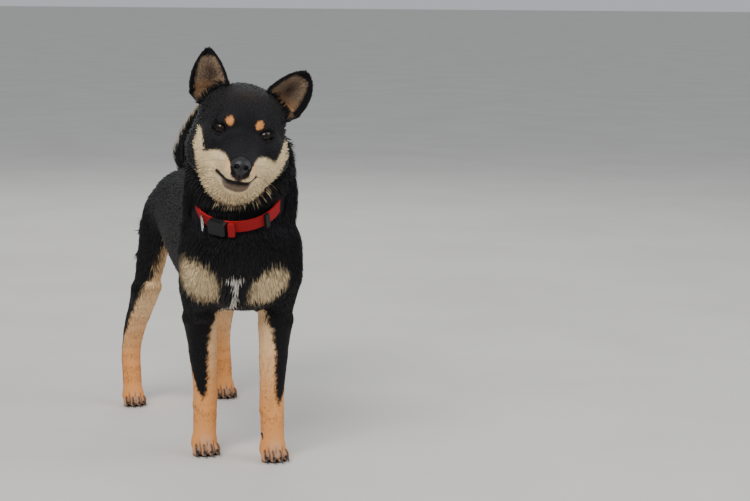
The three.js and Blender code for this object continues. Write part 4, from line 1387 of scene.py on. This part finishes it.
# Nose leather, with comma-shaped nostrils, a groove down the middle and a pebbled skin
def add_nose(material):
    unit_ball, faces = ball(72, 96)
    x, y, z = unit_ball.T
    narrow = np.where(z < 0, 1 + 0.42 * z, 1.0)
    flat = np.where(z > 0, 0.88, 1.0)
    wide, deep, high = NOSE_RADII
    p = np.stack([x * wide * narrow, y * deep, z * high * flat], axis=1)
    front = fade(-y, 0.1, 0.5)
    side, up = np.abs(p[:, 0]), p[:, 2]
    hole = ((side - 5.6) / 3.3) ** 2 + ((up + 0.6) / 2.9) ** 2
    comma = ((side - 9.4) / 3.8) ** 2 + ((up + 3.0 + 0.1 * (side - 9)) / 1.3) ** 2
    nostril = 6.0 * fade(1.3 - hole, 0, 0.7) + 3.2 * fade(1.2 - comma, 0, 0.8)
    groove = 1.1 * spot((side, 0, 0.8)) * fade(-up, -3, 3)
    wing = 0.7 * spot((side, 9, 2.5), (up, 2.5, 2.2))
    p[:, 1] += (nostril + groove - wing) * front
    obj = add_mesh("nose_leather", [(from_head(p + NOSE_PLACE), faces)], material)
    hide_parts("nose")


def leather_material(name, dark, light, rough, specular):
    look = Look(name, rough, specular)
    cells = look.add("TexVoronoi", {"Scale": 900, "Vector": look.place()}).outputs["Distance"]
    look.bump(cells, 0.35, 0.0005)
    return look.finish(look.ramp(cells, dark, light))


def onto_head(p, inward, rounds, axes=(1, 1, 1)):
    """Places brought along the given axes onto the bare head's surface, or that far under it (mm)."""
    for _ in range(rounds):
        p = p - slope(head_distance, p) * (head_distance(p) + inward)[:, None] * axes
    return p


def add_lips(material):
    angles = np.linspace(-1.5, 1.5, 70)
    line = onto_head(mouth_point(angles), 1.6, 12, (1, 1, 0))
    thick = 1.5 * np.cos(angles / 1.62) + 0.35
    shapes = []
    for height, share in ((0.9, 0.8), (-1.1, 1.0)):
        points = line + (0, 0, height)
        shapes.append(tube(from_head(points), thick * share * MM, 10, 0.8))
    add_mesh("lips", shapes, material)
    z = np.linspace(-50, -59, 12)
    line = np.stack([0 * z, np.full_like(z, -74.0), z], axis=1)
    line = onto_head(line, 1.2, 10, (0, 1, 0))
    add_mesh("philtrum", [tube(from_head(line), np.full(len(z), 0.8 * MM), 8)], material)


# Whiskers, in rows beside the nose: each row's height and how many it has
WHISKER_ROWS = ((-36, 3), (-41, 4), (-46, 4))
WHISKER_RADIUS = 0.13


def add_whiskers(material):
    shapes = []
    t = np.linspace(0, 1, 9)[:, None]
    droop = np.array([0.0, 0.35, -0.35]) * t**2
    for side in (-1, 1):
        for row, (z, count) in enumerate(WHISKER_ROWS):
            for k in range(count):
                root = onto_head(np.array([[side * 17.0, -56.0 + 7.0 * k, z - 1.2 * k]]), 1.0, 10)
                out = np.array([side * 0.9, 0.12 + 0.16 * k, 0.1 - 0.12 * row])
                points = root + (out / np.linalg.norm(out) * t + droop) * (22 + 5 * k + 3 * row)
                shapes.append(tube(from_head(points), WHISKER_RADIUS * (1 - 0.85 * t[:, 0]) * MM, 5))
    add_mesh("whiskers", shapes, material)


# Claws and pads
CLAW_STEPS = np.linspace(0, 1, 8)
CLAW_LENGTH = 9.5
CLAW_DROP = 5.2
CLAW_RADIUS = 2.3
CLAW_HEIGHT = 8.2
DEW_CLAW = 8


def claw_points(ahead, drop):
    t = CLAW_STEPS
    return np.stack([0 * t, -t * ahead, -(t**1.8) * drop], axis=1)


def add_claws(material):
    shapes = []
    for _, centre, shape in each_paw():
        scale = shape[0]
        radii = CLAW_RADIUS * scale * (1 - CLAW_STEPS**1.6) ** 0.7 + 0.25
        for x, y, turn in toe_places(scale):
            points = claw_points(CLAW_LENGTH * scale, CLAW_DROP * scale)
            points[:, 0], points[:, 1] = turned(points[:, 0], points[:, 1], turn)
            start = (centre[0] + x, centre[1] + y - CLAW_LENGTH * scale, CLAW_HEIGHT * scale)
            shapes.append(tube(from_body(points + start), radii * MM, 10, 0.85))
    for word in SIDE:
        x, y = FORE_PAW[word]
        dew_claw = claw_points(DEW_CLAW * 0.6, DEW_CLAW) + (x - SIDE[word] * 15.6, y + 3, 38.0)
        shapes.append(tube(from_body(dew_claw), 2.2 * (1 - np.linspace(0, 0.9, 8)) * MM, 8))
    add_mesh("claws", shapes, material)


TOE_PAD = np.array([4.6, 7.5, 2.5])
HEEL_PAD = np.array([11, 8, 2.5])
PAD_HEIGHT = 2.6


def add_pads(material):
    unit_ball, faces = ball(10, 16)
    shapes = []
    for _, centre, shape in each_paw():
        scale = shape[0]
        pads = [(x, y - 1.0, TOE_PAD) for x, y, _ in toe_places(scale)] + [(0, 9 * scale, HEEL_PAD)]
        for x, y, radii in pads:
            place = (centre[0] + x, centre[1] + y, PAD_HEIGHT)
            shapes.append((from_body(unit_ball * radii * scale + place), faces))
    add_mesh("pads", shapes, material)


# The collar: rounded edges, a woven band and moulded fittings
def woven_material(name, dark, light, scale):
    """Webbing: two waves that cross, round the neck and across the band."""
    look = Look(name, 0.72, 0.25)
    turn = {"Rotation": (-COLLAR_TILT, -COLLAR_ROLL, 0.0), "Vector": look.place()}
    place = look.add("Mapping", turn).outputs["Vector"]
    waves = {"Scale": scale, "Distortion": 0.6, "Detail": 1.0, "Vector": place}
    crossed = [look.add("TexWave", waves, bands_direction=way).outputs["Fac"] for way in "ZX"]
    total = look.add("Math", dict(enumerate(crossed)), operation="MULTIPLY").outputs["Value"]
    look.bump(total, 0.5, 0.0004)
    return look.finish(look.ramp(total, dark, light))


def dress(name, material, rounding):
    node = nodes[name]
    node.data.materials.clear()
    node.data.materials.append(material)
    bevel = node.modifiers.new("round", "BEVEL")
    bevel.width = rounding * MM
    bevel.segments = 2
    bevel.limit_method = "ANGLE"
    bevel.angle_limit = math.radians(40)


WEBBING = woven_material("red_webbing", (0.2, 0.004, 0.006), (0.62, 0.012, 0.016), 160)
BLACK_PLASTIC = mottled("black_plastic", (0.006, 0.006, 0.007), (0.013, 0.013, 0.014), 500, 0.42, 0.25)
STEEL = mottled("steel", (0.5, 0.5, 0.52), (0.72, 0.72, 0.73), 300, 0.24, 0.5, 1.0, 0.05)
dress("collar_band", WEBBING, 0.7)
dress("collar_loop", WEBBING, 0.8)
dress("collar_buckle", BLACK_PLASTIC, 1.1)
dress("collar_slide", BLACK_PLASTIC, 0.8)
dress("collar_ring", STEEL, 0.2)

LEATHER = leather_material("nose_leather", (0.004, 0.004, 0.005), (0.02, 0.02, 0.023), 0.4, 0.4)
LIP_SKIN = leather_material("lip_skin", (0.005, 0.004, 0.004), (0.012, 0.009, 0.009), 0.6, 0.15)
HORN = mottled("claw_horn", (0.012, 0.01, 0.01), (0.05, 0.042, 0.038), 260, 0.35)
HAIR = mottled("whisker_hair", (0.01, 0.01, 0.01), (0.03, 0.03, 0.03), 400, 0.5)
EYE_LOOK = eye_material()
for word in SIDE:
    add_eye(word, EYE_LOOK)
    rim = ring_tube(from_head(lid_line(word)), 0.95 * MM)
    add_mesh(f"lid_rim_{word}", [rim], LIP_SKIN)
add_nose(LEATHER)
add_lips(LIP_SKIN)
add_whiskers(HAIR)
add_claws(HORN)
add_pads(LIP_SKIN)


# The camera stands where the photograph was taken from
CAMERA_FROM_EYES = Vector((-0.613, -2.521, 0.204))
CAMERA_HEADING = (0.213, 0.977)
CAMERA_DOWN = math.radians(7.97)
CAMERA_SWING = math.radians(-5.26)
PHOTO_FOCUS = 1944  # pixels
PHOTO_WIDTH = 750
SENSOR = 36


def add_camera():
    camera = bpy.data.cameras.new("camera")
    camera.sensor_width = SENSOR
    camera.lens = SENSOR * PHOTO_FOCUS / PHOTO_WIDTH
    obj = add_object("camera", camera)
    level = Vector((*CAMERA_HEADING, 0)).normalized()
    ahead = level * math.cos(CAMERA_DOWN) - Vector((0, 0, math.sin(CAMERA_DOWN)))
    right = ahead.cross(Vector((0, 0, 1))).normalized()
    up = right.cross(ahead)
    ahead = Matrix.Rotation(CAMERA_SWING, 3, up) @ ahead
    axes = Matrix((ahead.cross(up), up, -ahead)).transposed()
    obj.matrix_world = Matrix.Translation(EYES + CAMERA_FROM_EYES) @ axes.to_4x4()
    bpy.context.scene.camera = obj


LIT_PLACE = Vector((0, 0, 0.3))


def add_light(name, place, size, power, colour):
    light = bpy.data.lights.new(name, "AREA")
    light.size = size
    light.energy = power
    light.color = colour
    obj = add_object(name, light)
    obj.location = place
    obj.rotation_mode = "QUATERNION"
    obj.rotation_quaternion = (LIT_PLACE - Vector(place)).to_track_quat("-Z", "Y")


def add_floor():
    bpy.ops.mesh.primitive_plane_add(size=80, location=(0, 0, 0))
    floor = bpy.context.object
    floor.name = "floor"
    look = mottled("floor", (0.62, 0.6, 0.57), (0.66, 0.64, 0.61), 3.0, 0.8, 0.2, 0.0, 0.05)
    floor.data.materials.append(look)


def add_world():
    world = bpy.data.worlds.new("studio")
    world.use_nodes = True
    shade = world.node_tree.nodes["Background"]
    shade.inputs["Color"].default_value = (0.78, 0.82, 0.86, 1)
    shade.inputs["Strength"].default_value = 0.62
    bpy.context.scene.world = world


add_floor()
add_world()
add_camera()
add_light("key", (-1.6, -2.2, 3.0), 2.2, 120, (1.0, 0.98, 0.95))
add_light("fill", (2.6, -1.4, 1.8), 2.5, 45, (0.95, 0.97, 1.0))
add_light("back", (0.4, 2.8, 2.4), 2.0, 32, (1.0, 1.0, 1.0))
for piece in coat:
    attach(piece, "root")
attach(skin, "root")
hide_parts(*FLESH, *EARS, "tail")
